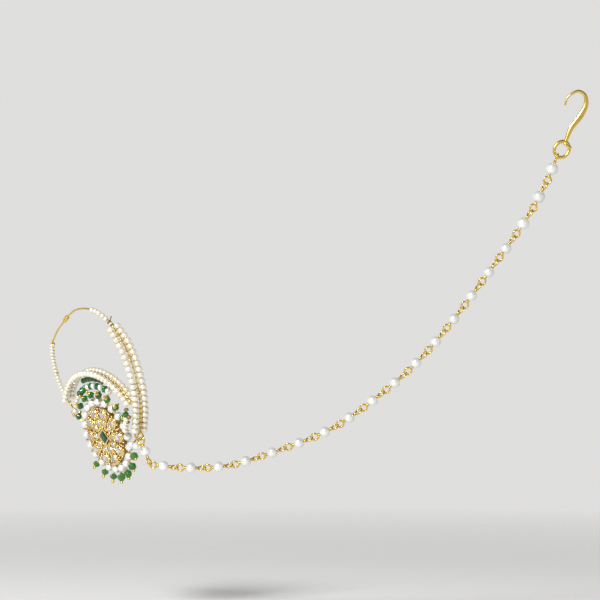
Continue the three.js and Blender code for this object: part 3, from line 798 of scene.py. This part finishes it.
def disc_model():
    piece = start(bpy.ops.mesh.primitive_cylinder_add, vertices=80, radius=1.0, depth=2.0)
    for vertex in piece.data.vertices:
        angle = math.atan2(vertex.co.y, vertex.co.x)
        if math.hypot(vertex.co.x, vertex.co.y) > 0.5:
            lobe = LOBE_MIDDLE + LOBE_DEPTH * math.cos(PETALS * angle)
            vertex.co.x *= lobe
            vertex.co.y *= lobe
    edit_faces(piece, top_faces)
    bpy.ops.mesh.inset(thickness=RIM_WIDTH)
    bpy.ops.transform.translate(value=(0, 0, -FRONT_HOLLOW))
    leave_edit()
    reach, radius = HOLE_CIRCLE / DISC_RADIUS, HOLE_RADIUS / DISC_RADIUS
    cutters = []
    for angle in gap_angles:
        turn = math.radians(angle)
        cutters.append(start(bpy.ops.mesh.primitive_cylinder_add, vertices=14, depth=4.0, radius=radius,
                             location=(reach * math.cos(turn), reach * math.sin(turn), 0)))
    choose(*cutters)
    bpy.ops.object.join()
    cut = piece.modifiers.new("openings", "BOOLEAN")
    cut.operation = "DIFFERENCE"
    cut.object = cutters[0]
    choose(piece)
    bpy.ops.object.modifier_apply(modifier=cut.name)
    bpy.data.objects.remove(cutters[0])
    round_edges(piece, 0.02, 2)
    bpy.ops.object.shade_smooth_by_angle(angle=math.radians(40))
    return take_mesh(piece)


disc_place = FLOWER_FRONT @ Matrix.Diagonal((DISC_RADIUS, DISC_RADIUS, DISC_HALF, 1))
# The whole disc takes the darker orange gold: partly its own tone, partly painted shade in the gaps and
# on the side wall
settle(copies(disc_model(), [disc_place]), "flower_disc", shaded_wall_gold, ["flower_setting"])


# %% Places on the front of the flower
def on_front(angle, radius, height, size, turn=0.0):
    """A place on the disc's front: its +Z points out of the flower."""
    reach = math.radians(angle)
    spot = Matrix.Translation((radius * math.cos(reach), radius * math.sin(reach), DISC_HALF + height))
    return FLOWER_FRONT @ spot @ Matrix.Rotation(reach + turn, 4, "Z") @ Matrix.Diagonal((*size, 1))


# %% Petal outlines and the small leaves between them
def petal_line(angle, inner, outer, width, height):
    line = []
    for n in range(PETAL_CORNERS):
        turn = 2 * math.pi * n / PETAL_CORNERS
        share = (1 - math.cos(turn)) / 2
        reach = inner + (outer - inner) * share
        spread = width * math.sin(turn) * (0.55 + 0.45 * share)
        place = FLOWER_FRONT @ Matrix.Rotation(math.radians(angle), 4, "Z")
        line.append(place @ Vector((reach, spread, DISC_HALF + height)))
    return line


PETAL = {"inner": 3.9, "outer": 11.45, "width": 2.15, "height": 0.12}
LEAFLET = {"inner": 3.0, "outer": 6.6, "width": 0.95, "height": 0.3}
PETAL_WIRE, LEAFLET_WIRE, PETAL_CORNERS = 0.62, 0.42, 28
outlines = [petal_line(angle, **PETAL) for angle in petal_angles]
leaflets = [petal_line(angle, **LEAFLET) for angle in gap_angles]
flower_wires = [wires(outlines, PETAL_WIRE, closed=True), wires(leaflets, LEAFLET_WIRE, closed=True)]
settle(join_meshes(flower_wires), "petal_wires", granule_gold)


# %% Model a cup, a prong and a granule
def cup_model():
    """A low round cup: a ring wall that holds its stone, open at the top."""
    piece = start(bpy.ops.mesh.primitive_cylinder_add, vertices=20, radius=1.0, depth=1.0)
    edit_faces(piece, top_faces)
    bpy.ops.mesh.inset(thickness=0.14)
    extrude(-0.5)
    leave_edit()
    bpy.ops.object.shade_smooth_by_angle(angle=math.radians(40))
    return take_mesh(piece)


def granule_model():
    piece = start(bpy.ops.mesh.primitive_uv_sphere_add, segments=8, ring_count=6, radius=1.0)
    bpy.ops.object.mode_set(mode="EDIT")
    bpy.ops.mesh.select_all(action="SELECT")
    bpy.ops.transform.resize(value=(1, 1, 0.8))
    leave_edit()
    bpy.ops.object.shade_smooth()
    return take_mesh(piece)


def stone_model(table, crown, depth):
    """A round cut stone from above: a belt, eight crown facets and a flat table."""
    piece = start(bpy.ops.mesh.primitive_cylinder_add, vertices=8, radius=1.0, depth=depth,
                  location=(0, 0, -depth / 2))
    bpy.ops.object.transform_apply(location=True)
    edit_faces(piece, top_faces)
    extrude(crown, table)
    leave_edit()
    return take_mesh(piece)


cup, granule = cup_model(), granule_model()
round_stone = stone_model(0.58, 0.42, 0.3)


# %% Facets with painted flashes of light and dark
def painted_facet_flashes(mesh, seed):
    """Painted light: give each facet its own tone number, so that neighbours show painted bright glints
    and dark reflections, as cut stones flash under a lamp.
    """
    draw = random.Random(seed)
    split = bmesh.new()
    split.from_mesh(mesh)
    bmesh.ops.split_edges(split, edges=split.edges)
    split.to_mesh(mesh)
    split.free()
    tint_and_flash = mesh.attributes["tint_and_flash"]
    for face in mesh.polygons:
        value = draw.random()
        for corner in face.vertices:
            tint_and_flash.data[corner].value = value
    return mesh


# %% Stones in their cups
OUTER_CIRCLE, INNER_CIRCLE = 9.2, 5.55
OUTER_CUP, INNER_CUP = (1.78, 1.78, 1.1), (1.05, 1.05, 0.9)
OUTER_STONE, INNER_STONE = (1.62, 1.62, 1.25), (0.84, 0.84, 0.9)
cups = [on_front(angle, OUTER_CIRCLE, 0.25, OUTER_CUP) for angle in petal_angles]
cups += [on_front(angle, INNER_CIRCLE, 0.15, INNER_CUP) for angle in petal_angles]
stones, inner_stones = [], []
for n, angle in enumerate(petal_angles):
    stones.append(on_front(angle, OUTER_CIRCLE, 0.55, OUTER_STONE, 0.2 * n))
    inner_stones.append(on_front(angle, INNER_CIRCLE, 0.42, INNER_STONE, 0.3 * n))
stones += inner_stones
settle(copies(cup, cups), "stone_cups", granule_gold)
# The stones' facets get painted glints and dark reflections
settle(painted_facet_flashes(copies(round_stone, stones), 41), "petal_stones", clear_stone)

# %% Prongs over the stones and granules between them
PRONG_REACH, PRONG_HEIGHT, PRONG_SIZE = 1.42, 0.86, (0.42, 0.3, 0.3)
# Between two petals stand four granules, each with its reach from the middle and its radius
GAP_GRANULES = ((11.1, 0.42), (10.1, 0.46), (9.1, 0.36), (3.75, 0.4))
# On both sides of a petal lie two more: their turn from it, reach, height and radius
SIDE_GRANULES = ((9.6, 11.25, 0.1, 0.4), (14, 6.0, 0.3, 0.34))
# Round each cup lies a beaded ring: the cup's circle, the ring's radius, and its beads
BEADED_RINGS = ((OUTER_CIRCLE, 2.0, 15, 0.3), (INNER_CIRCLE, 1.3, 10, 0.27))
prongs, granules = [], []
for petal_angle in petal_angles:
    for corner in range(4):
        turn = math.radians(45 + 90 * corner)
        radius = OUTER_CIRCLE + PRONG_REACH * math.cos(turn)
        angle = petal_angle + math.degrees(PRONG_REACH * math.sin(turn) / radius)
        prongs.append(on_front(angle, radius, PRONG_HEIGHT, PRONG_SIZE))
    for reach, size in GAP_GRANULES:
        granules.append(on_front(petal_angle + PETAL_TURN / 2, reach, 0.2, (size, size, size)))
    for side in (-1, 1):
        for turn, reach, height, size in SIDE_GRANULES:
            granules.append(on_front(petal_angle + turn * side, reach, height, (size, size, size)))
for circle, ring_radius, count, grain in BEADED_RINGS:
    for petal_angle in petal_angles:
        for bead in range(count):
            turn = 2 * math.pi * bead / count
            radius = circle + ring_radius * math.cos(turn)
            angle = petal_angle + math.degrees(math.atan2(ring_radius * math.sin(turn), radius))
            granules.append(on_front(angle, radius, 0.24, (grain, grain, grain)))
settle(copies(granule, prongs), "stone_prongs", gold)
settle(copies(granule, granules), "gold_granules", granule_gold)


# %% [markdown]
# ## The green centre
# A square stone with cut corners sits in a square gold collar. The collar's top edge is
# bevelled, and that edge is what catches the light round the stone.

# %% Collar and centre stone
COLLAR_TURN = math.radians(45 - 8)
COLLAR_SIZE, COLLAR_HEIGHT = (2.45, 2.45, 0.75), 0.1
STONE_SIZE, STONE_HEIGHT = (1.85, 1.85, 0.55), 0.35


def collar_model():
    piece = start(bpy.ops.mesh.primitive_cube_add, size=2.0)
    edit_faces(piece, top_faces)
    bpy.ops.mesh.inset(thickness=0.22)
    extrude(-0.8)
    leave_edit()
    round_edges(piece, 0.1, 2)
    return take_mesh(piece)


def square_stone_model():
    piece = start(bpy.ops.mesh.primitive_cube_add, size=2.0)
    bpy.ops.object.mode_set(mode="EDIT")
    bpy.ops.mesh.select_mode(type="EDGE")
    bpy.ops.mesh.select_all(action="DESELECT")
    shape = bmesh.from_edit_mesh(piece.data)
    for edge in shape.edges:
        first, second = edge.verts
        edge.select_set(abs(first.co.z - second.co.z) > 1)
    bmesh.update_edit_mesh(piece.data)
    bpy.ops.mesh.bevel(offset=0.42, segments=1)
    leave_edit()
    edit_faces(piece, top_faces)
    extrude(0.35, 0.82)
    extrude(0.35, 0.72)
    leave_edit()
    return take_mesh(piece)


collar_place = on_front(0, 0, COLLAR_HEIGHT, COLLAR_SIZE, COLLAR_TURN)
settle(copies(collar_model(), [collar_place]), "centre_collar", granule_gold)
stone_place = on_front(0, 0, STONE_HEIGHT, STONE_SIZE, COLLAR_TURN)
# The green stone's facets get painted glints and dark reflections too
green_stone = painted_facet_flashes(copies(square_stone_model(), [stone_place]), 51)
settle(green_stone, "centre_green_stone", deep_glass, ["centre_stone"])
EDGE_BEADS, EDGE_CIRCLE, EDGE_SIZE = 16, 3.35, (0.36, 0.36, 0.36)
edge_beads = [on_front(360 / EDGE_BEADS * n, EDGE_CIRCLE, 0.3, EDGE_SIZE) for n in range(EDGE_BEADS)]
settle(copies(granule, edge_beads), "collar_granules", gold)

# %% [markdown]
# ## Ring of pearls
# Twenty round pearls stand round the disc with a gold pin between each two. Each pin ends in
# a small ball, and two more pearls lead to the hoop's lower corner.

# %% Ring pearls, corner pearls and pins
RING_RADIUS, RING_COUNT, RING_SIZE = 13.55, 20, (1.7, 1.7, 1.62)
CORNER_START, CORNER_PITCH, CORNER_AHEAD = 16.8, 3.1, -1.5
CORNER_SIZE, CORNER_END, CORNER_END_AHEAD = (1.4, 1.4, 1.36), 22.4, -1.2
PIN_REACHES, HEAD_SIZE = (10.6, 12.8, PIN_END), (0.4, 0.4, 0.42)
PITCH = 360 / RING_COUNT
ring_places = []
for n in range(RING_COUNT):
    middle = flower_place @ flower_point(PITCH * n, RING_RADIUS)
    along = flower_turn @ (flower_point(PITCH * n + 90, 1) + Vector((0, 0.3, 0)))
    ring_places.append(stand(middle, along, flower_turn @ OUTER, RING_SIZE))
ring_nodes = [f"ring_pearl_{n + 1:02d}" for n in range(RING_COUNT)]
settle(copies(round_pearl, ring_places, 61), "ring_round_pearls", white_pearl, ring_nodes)
corner_places = []
corner_way = flower_turn @ flower_point(-PITCH / 2, 1)
for n in range(2):
    middle = flower_place @ flower_point(-PITCH / 2, CORNER_START + n * CORNER_PITCH, CORNER_AHEAD)
    corner_places.append(stand(middle, corner_way, Vector((0, 0, 1)), CORNER_SIZE))
corner_pearls = copies(round_pearl, corner_places, 62)
corner_nodes = ["corner_pearl_1", "corner_pearl_2"]
settle(corner_pearls, "corner_round_pearls", white_pearl, corner_nodes)
pins, heads = [], []
for n in range(RING_COUNT):
    angle = PITCH * (n + 0.5)
    pins.append([flower_place @ flower_point(angle, reach) for reach in PIN_REACHES])
    out = flower_turn @ flower_point(angle, 1)
    heads.append(stand(pins[-1][-1], out, Vector((0, 0.1, 1)), HEAD_SIZE))
corner_start = flower_point(-PITCH / 2, PIN_END, CORNER_AHEAD)
corner_end = flower_point(-PITCH / 2, CORNER_END, CORNER_END_AHEAD)
pins.append([flower_place @ corner_start.lerp(corner_end, n / 4) for n in range(5)])
ring_gold = join_meshes([wires(pins, PIN_WIRE), copies(granule, heads)])
settle(ring_gold, "ring_gold_pins", gold)

# %% [markdown]
# ## Green fringe
# Outside the ring hang green glass beads. Each has a gold cap at its outer end and a gold
# ball that stops it from sliding off, and it leans forward out of the flower's plane.


# %% Model a cap
def cap_model():
    """A small gold bell over the end of a bead."""
    piece = start(bpy.ops.mesh.primitive_cylinder_add, vertices=12, radius=1.0, depth=1.0)
    edit_faces(piece, top_faces)
    bpy.ops.transform.resize(value=(0.45, 0.45, 1))
    bpy.ops.mesh.inset(thickness=0.1)
    leave_edit()
    round_edges(piece, 0.08, 2)
    bpy.ops.object.shade_smooth_by_angle(angle=math.radians(50))
    return take_mesh(piece)


# %% The drops
DROP_LENGTH, DROP_START, STEM_WIRE = 3.8, 15.4, 0.4
BEAD_HALF, LARGE_BEAD_HALF = (1.45, 1.25), (1.62, 1.75)
BEAD_AT, CAP_AT, BALL_AT = 0.38, 0.69, 0.9
CAP_SIZE, BALL_SIZE = (0.78, 0.78, 0.42), (0.6, 0.6, 0.62)
UPPER_LEAN, LOWER_LEAN = math.radians(35), math.radians(20)
cap = cap_model()
drop_spots = []
for n in range(RING_COUNT):
    angle = PITCH * (n + 0.5)
    bare = 160 < angle < 220 or angle < 20 or angle > 340
    if not bare:
        drop_spots.append((angle, UPPER_LEAN if angle < 180 else LOWER_LEAN))
caps, balls, stems = [], [], []
for number, (angle, lean) in enumerate(drop_spots, 1):
    foot = flower_place @ flower_point(angle, DROP_START)
    out = flower_turn @ flower_point(angle, math.cos(lean), -math.sin(lean))
    side = flower_turn @ Vector((0, 1, 0))
    across, along = LARGE_BEAD_HALF if angle > 270 else BEAD_HALF
    bead_place = stand(foot + out * DROP_LENGTH * BEAD_AT, out, side, (across, across * 0.9, along))
    look = leaf_glass if angle > 220 else green_glass
    bead = copies(cut_bead, [bead_place], 70 + number)
    settle(bead, f"drop_bead_{number:02d}", look, [f"green_drop_{number:02d}"])
    caps.append(stand(foot + out * DROP_LENGTH * CAP_AT, out, side, CAP_SIZE))
    tip = foot + out * DROP_LENGTH * BALL_AT
    balls.append(stand(tip, out, side, BALL_SIZE))
    stems.append([foot - out * 0.2, foot + out * DROP_LENGTH * 0.5, tip])
tip_ball = pearl_model(14, 9, 0.05)
drop_gold = join_meshes([copies(cap, caps), copies(tip_ball, balls), wires(stems, STEM_WIRE)])
settle(drop_gold, "drop_gold_tips", gold)

# %% Small metal beads between the fringe and the rows
# Each bead has its angle round the flower and its reach from the middle
trim_spots = ((109, 17.1), (85, 17.3), (68, 16.9), (47, 17.0), (31, 17.1), (150, 17.6), (157, 21.8))
TRIM_BACK, TRIM_SIZE = 0.5, (0.75, 0.75, 0.6)
trim_places = []
for angle, reach in trim_spots:
    middle = flower_place @ flower_point(angle, reach, TRIM_BACK)
    along = flower_turn @ flower_point(angle + 90, 1)
    trim_places.append(stand(middle, along, OUTER, TRIM_SIZE))
settle(copies(cut_bead, trim_places, 81), "trim_metal_beads", copper_gold)

# %% [markdown]
# ## The chain
# Each unit is one pearl on a wire that is bent into an eye at both ends, with its tail wound
# back round the stem. The chain lies along a route over the cheek, and each unit reaches from
# one joint to the next, just as its solid does.

# %% Sizes of the chain
CHAIN_UNITS, LARGE_FROM, CHAIN_PEARL, LARGE_PEARL = 20, 17, 4.0, 4.6
EYE_RADIUS, EYE_WIRE, STEM_LENGTH, EYE_TWIST = 1.34, 0.6, 0.88, 25
RING_REACH, CHAIN_RING_ANGLE = 1.6, -51.5
LINKED_EYES = 2 * EYE_RADIUS - EYE_WIRE * 0.66
CHAIN_ROUTE = (
    (32.6, -16.2, -54), (37.8, -18.1, -55.3), (49.8, -21, -55.4), (59.8, -23.7, -55.2),
    (80.6, -28.7, -48.7), (100.8, -33, -40.4), (117.7, -36.7, -28.3), (133, -39.7, -14.7),
    (147, -42, 2.3), (159.3, -43.7, 19.1), (171.9, -44.7, 37), (177.3, -45, 46.2),
    (181, -45, 54.8), (184.5, -45, 63.5),
)


def unit_size(index):
    return LARGE_PEARL if index >= LARGE_FROM else CHAIN_PEARL


def eye_reach(index):
    return unit_size(index) / 2 + STEM_LENGTH + EYE_RADIUS


def unit_length(index):
    return 2 * eye_reach(index) + LINKED_EYES


# %% A smooth route through those places
def smooth_route(places, step=0.002):
    """Points along a smooth curve through the places, each a small share of its length on."""
    p = [np.array(place, float) for place in places]
    p = [2 * p[0] - p[1], *p, 2 * p[-1] - p[-2]]
    t = np.linspace(0, 1, 60, endpoint=False)[:, None]
    curve = []
    for a, b, c, d in zip(p, p[1:], p[2:], p[3:]):
        before, here, after = (np.linalg.norm(gap) ** 0.5 for gap in (b - a, c - b, d - c))
        start = ((b - a) / before - (c - a) / (before + here) + (c - b) / here) * here
        end = ((c - b) / here - (d - b) / (here + after) + (d - c) / after) * here
        curve.append(cubic(b, c, start, end, t))
    curve = np.concatenate([*curve, p[-2][None]])
    run = np.append(0, np.cumsum(np.linalg.norm(np.diff(curve, axis=0), axis=1)))
    stops = np.arange(0, 1, step) * run[-1]
    return [Vector([np.interp(stop, run, curve[:, axis]) for axis in range(3)]) for stop in stops]


# %% Joints of the chain, from the hoop to the hook
hang_point = hoop_place @ hoop_point(CHAIN_RING_ANGLE)
hang_direction = (Vector(CHAIN_ROUTE[0]) - hang_point).normalized()
ring_over_wire = RING_REACH - EYE_WIRE / 2 - WIRE / 2 - SEAT_GAP / 2
first_eye = ring_over_wire + RING_REACH - EYE_WIRE - SEAT_GAP / 2 + EYE_RADIUS
joints = [hang_point + hang_direction * (first_eye + eye_reach(0) - unit_length(0) / 2)]
joints.append(joints[0] + hang_direction * unit_length(0))
route = smooth_route([joints[1], *CHAIN_ROUTE[1:]])
reached = 0
for index in range(1, CHAIN_UNITS):
    while reached < len(route) - 1 and (route[reached] - joints[index]).length < unit_length(index):
        reached += 1
    toward = (route[reached] - joints[index]).normalized()
    joints.append(joints[index] + toward * unit_length(index))
print("first and last joint, mm:", [[round(c, 2) for c in joint] for joint in (joints[0], joints[-1])])

# %% Chain units between those joints
ROUND_EYE_WIRE, COIL_WIRE, EYE_STEPS = 0.68, 0.38, 20
COIL = {"radius": 0.45, "length": 0.75, "turns": 2.5}
chain_pearls, chain_lines, chain_eyes = [], [], []
for index in range(CHAIN_UNITS):
    middle = (joints[index] + joints[index + 1]) / 2
    axis = (joints[index + 1] - joints[index]).normalized()
    size = unit_size(index)
    twist = 90 + (0 if index == CHAIN_UNITS - 1 else EYE_TWIST)
    place = stand(middle, axis, Vector((0, 1, 0))) @ Matrix.Rotation(math.radians(twist), 4, "Z")
    chain_pearls.append(place @ Matrix.Diagonal((size / 2, size / 2, size / 2 * 0.97, 1)))
    reach = eye_reach(index)
    for end in (-1, 1):
        loop = []
        for n in range(EYE_STEPS):
            turn = 2 * math.pi * n / EYE_STEPS
            flat = Vector((EYE_RADIUS * math.sin(turn), 0, EYE_RADIUS * -math.cos(turn)))
            if end > 0:
                flat = Vector((0, flat.x, flat.z))
            loop.append(place @ Vector((flat.x, flat.y, end * (reach + flat.z))))
        chain_eyes.append(loop)
        foot, top = size / 2 - 0.35, size / 2 + STEM_LENGTH + EYE_WIRE / 4
        chain_lines.append([place @ Vector((0, 0, end * foot)), place @ Vector((0, 0, end * top))])
        coil_middle = Vector((0, 0, end * (size / 2 + STEM_LENGTH * 0.5)))
        coil = winding(coil_middle, Vector((0, 0, 1)), **COIL)
        chain_lines.append([place @ point for point in coil])
settle(copies(round_pearl, chain_pearls, 91), "chain_round_pearls", white_pearl)
eye_wires = wires(chain_eyes, ROUND_EYE_WIRE, closed=True, sides=2)
chain_gold = join_meshes([eye_wires, wires(chain_lines, COIL_WIRE, sides=2)])
settle(chain_gold, "chain_gold_links", gold, ["pearl_chain"])

# %% [markdown]
# ## The ring that the chain starts from
# A small round ring hangs on the hoop's lower corner. Its solid is a coarse ring, so its
# middle and its flat direction are read from it, and a rounder ring is put there.

# %% Start ring
ring_points = np.array([v.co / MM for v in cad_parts["chain_start_ring"].data.vertices])
ring_middle = ring_points.mean(0)
ring_vectors = np.linalg.eigh(np.cov((ring_points - ring_middle).T))[1]
ring_stand = stand(Vector(ring_middle), Vector(ring_vectors[:, 0]), Vector(ring_vectors[:, 2]))
START_RING_WIRE, START_RING_STEPS = 0.72, 32
ring_line = []
for n in range(START_RING_STEPS):
    turn = 2 * math.pi * n / START_RING_STEPS
    ring_line.append(ring_stand @ Vector((RING_REACH * math.cos(turn), RING_REACH * math.sin(turn), 0)))
start_ring = wires([ring_line], START_RING_WIRE, closed=True)
settle(start_ring, "start_ring_round", gold, ["chain_start_ring"])

# %% [markdown]
# ## The hair hook
# A flat stem rises from an eye ring, bends over and thins to a tip. Its section is a soft oval
# that changes along the way, so the oval is extruded step by step and reshaped at each.

# %% Place of the hook
HOOK_EYE, HOOK_STRETCH, HOOK_WIRE, HOOK_TILT = 2.6, 1.19, 1.1, math.radians(57)
last_axis = (joints[-1] - joints[-2]).normalized()
last_eye = (joints[-1] + joints[-2]) / 2 + last_axis * eye_reach(CHAIN_UNITS - 1)
contact = last_eye + last_axis * (EYE_RADIUS - EYE_WIRE / 2 - HOOK_WIRE / 2 - SEAT_GAP / 2)
hook_middle = contact + Vector((math.cos(HOOK_TILT), 0, math.sin(HOOK_TILT))) * HOOK_EYE * HOOK_STRETCH
print("hook's eye, mm:", [round(c, 2) for c in hook_middle])

# %% Hook from its sections
HOOK_THROW, HOOK_RISE, HOOK_WIDTH, HOOK_THICK = 9.0, 21.3, 2.2, 1.2
STEM_STEPS = 72
# Each section has its shares of the hook's throw, rise and width
SECTIONS = (
    (0.15, 0.125, 0.6), (0.37, 0.356, 0.85), (0.78, 0.588, 1), (0.97, 0.75, 0.85), (1, 0.835, 0.74),
    (0.92, 0.945, 0.6), (0.68, 1, 0.5), (0.4, 0.955, 0.42), (0.22, 0.88, 0.38), (0.13, 0.76, 0.34),
)


def smooth_value(values, place):
    """A value between the listed ones, on a curve without corners."""
    before = min(int(place), len(values) - 2)
    t = place - before
    a = values[max(before - 1, 0)]
    b, c = values[before], values[before + 1]
    d = values[min(before + 2, len(values) - 1)]
    return cubic(b, c, (c - a) / 2, (d - b) / 2, t)


def hook_sections():
    """Where the stem's oval section stands, step by step from the eye ring to the tip."""
    middles = [Vector((across * HOOK_THROW, 0, up * HOOK_RISE)) for across, up, _ in SECTIONS]
    spots = smooth_route(middles, 1 / STEM_STEPS) + [middles[-1]]
    run = np.append(0, np.cumsum([(b - a).length for a, b in zip(middles, middles[1:])]))
    sections = []
    for n, spot in enumerate(spots):
        reached = float(np.interp(n / STEM_STEPS * run[-1], run, range(len(SECTIONS))))
        width = smooth_value([width for _, _, width in SECTIONS], reached) * HOOK_WIDTH
        along = spots[min(n + 1, STEM_STEPS)] - spots[max(n - 1, 0)]
        size = (width / 2, min(width, HOOK_THICK) / 2, 1)
        sections.append(stand(hook_middle + spot, along, Vector((0, 1, 0)).cross(along), size))
    return sections


def hook_stem():
    """Extrude the oval from section to section, turned and narrowed a little each time."""
    sections = [Matrix.Scale(MM, 4) @ section for section in hook_sections()]
    piece = start(bpy.ops.mesh.primitive_circle_add, vertices=20, radius=1.0, fill_type="NGON")
    piece.data.transform(sections[0])
    edit_faces(piece, lambda middle, normal: True)
    for before, after in zip(sections, sections[1:]):
        bpy.ops.mesh.extrude_region_move()
        shape = bmesh.from_edit_mesh(piece.data)
        moved = [vertex for vertex in shape.verts if vertex.select]
        bmesh.ops.transform(shape, matrix=after @ before.inverted(), verts=moved)
        bmesh.update_edit_mesh(piece.data)
    bpy.ops.mesh.select_all(action="SELECT")
    bpy.ops.mesh.normals_make_consistent(inside=False)
    leave_edit()
    for face in piece.data.polygons:
        face.use_smooth = len(face.vertices) == 4
    return take_mesh(piece)


HOOK_EYE_STEPS, HOOK_EYE_WIRE, CUT_END_WIRE = 48, 1.25, 1.15
eye_turn = Matrix.Rotation(-HOOK_TILT, 4, "Y")
eye_line = []
for n in range(HOOK_EYE_STEPS):
    turn = 2 * math.pi * n / HOOK_EYE_STEPS
    flat = Vector((HOOK_EYE * HOOK_STRETCH * math.cos(turn), 0, HOOK_EYE * math.sin(turn)))
    eye_line.append(hook_middle + eye_turn @ flat)
stem_foot = Vector((SECTIONS[0][0] * HOOK_THROW, 0, SECTIONS[0][1] * HOOK_RISE))
end_foot = hook_middle + stem_foot - Vector((HOOK_WIRE / 2, 0, HOOK_WIRE / 3))
end_out = Vector((0.8, -0.1, -0.6)).normalized()
cut_end = [end_foot + end_out * reach for reach in (0, 0.9, 1.8, 2.6, 3.3)]
hook_eye = wires([eye_line], HOOK_EYE_WIRE, closed=True, sides=5)
hook_gold = join_meshes([hook_stem(), hook_eye, wires([cut_end], CUT_END_WIRE, sides=5)])
settle(hook_gold, "hair_hook_smooth", gold, ["hair_hook"])

# %% [markdown]
# ## Floor and light
# A pale round floor lies under the jewel and fades out at its edge, so that the picture's
# background stays plain. One soft lamp from the upper left gives pearls and gold their shine,
# and the room is pale at the horizon and dimmer overhead, which shades the pearls' tops.

# %% Floor
FLOOR_HEIGHT, FLOOR_RADIUS, FADE_FROM, FADE_TO = -0.112, 0.7, 0.25, 0.62
floor = start(bpy.ops.mesh.primitive_circle_add, vertices=96, radius=FLOOR_RADIUS, fill_type="NGON",
              location=(0.08, 0, FLOOR_HEIGHT))
floor.name = "studio_floor"
floor_look = Finish("pale floor")
floor_look.set(Base_Color=(0.92, 0.92, 0.91, 1), Roughness=0.7)
floor_look.set(Emission_Color=(1, 1, 1, 1), Emission_Strength=0.07)
length = {"operation": "LENGTH"}
reach = floor_look.put("ShaderNodeVectorMath", length, {"Vector": floor_look.place()}, out="Value")
fade_range = {"Value": reach, "From Min": FADE_FROM, "From Max": FADE_TO}
fade = floor_look.put("ShaderNodeMapRange", values=fade_range)
floor_look.set(Alpha=1 - fade)
floor.data.materials.append(floor_look.material)

# %% Lamp
AIM, LAMP_PLACE = Vector((0.06, 0, -0.01)), Vector((-0.35, -0.75, 0.55))
LAMP_SIZE, LAMP_POWER = 0.22, 10.0
lamp_turn = (AIM - LAMP_PLACE).to_track_quat("-Z", "Y").to_euler()
bpy.ops.object.light_add(type="AREA", location=LAMP_PLACE, rotation=lamp_turn)
lamp = bpy.context.object
lamp.name = "key"
lamp.data.size = LAMP_SIZE
lamp.data.energy = LAMP_POWER
print("lamp to jewel, m:", round((AIM - LAMP_PLACE).length, 2))

# %% Pale room
world = bpy.data.worlds.new("pale studio")
bpy.context.scene.world = world
world.use_nodes = True
room = world.node_tree
backdrop = room.nodes["Background"]
way = room.nodes.new("ShaderNodeTexCoord")
parts = room.nodes.new("ShaderNodeSeparateXYZ")
room.links.new(way.outputs["Generated"], parts.inputs[0])


def room_fade(axis, from_low, from_high, to_low, to_high):
    """A share of the light that changes with the direction along one axis."""
    node = room.nodes.new("ShaderNodeMapRange")
    room.links.new(parts.outputs[axis], node.inputs["Value"])
    limits = {"From Min": from_low, "From Max": from_high, "To Min": to_low, "To Max": to_high}
    for name, value in limits.items():
        node.inputs[name].default_value = value
    return Value(room, node.outputs[0])


light = room_fade("Z", 0.12, 0.75, 0.74, 0.2) * room_fade("Y", -0.9, 0.3, 0.82, 1.0)
room.links.new(light.socket, backdrop.inputs["Strength"])
backdrop.inputs["Color"].default_value = (1.0, 0.995, 0.985, 1)
bpy.context.scene.view_settings.view_transform = "Standard"
print("room is pale at the horizon and dimmer above")

# %% The jewel is dressed
print("jewel dressed")
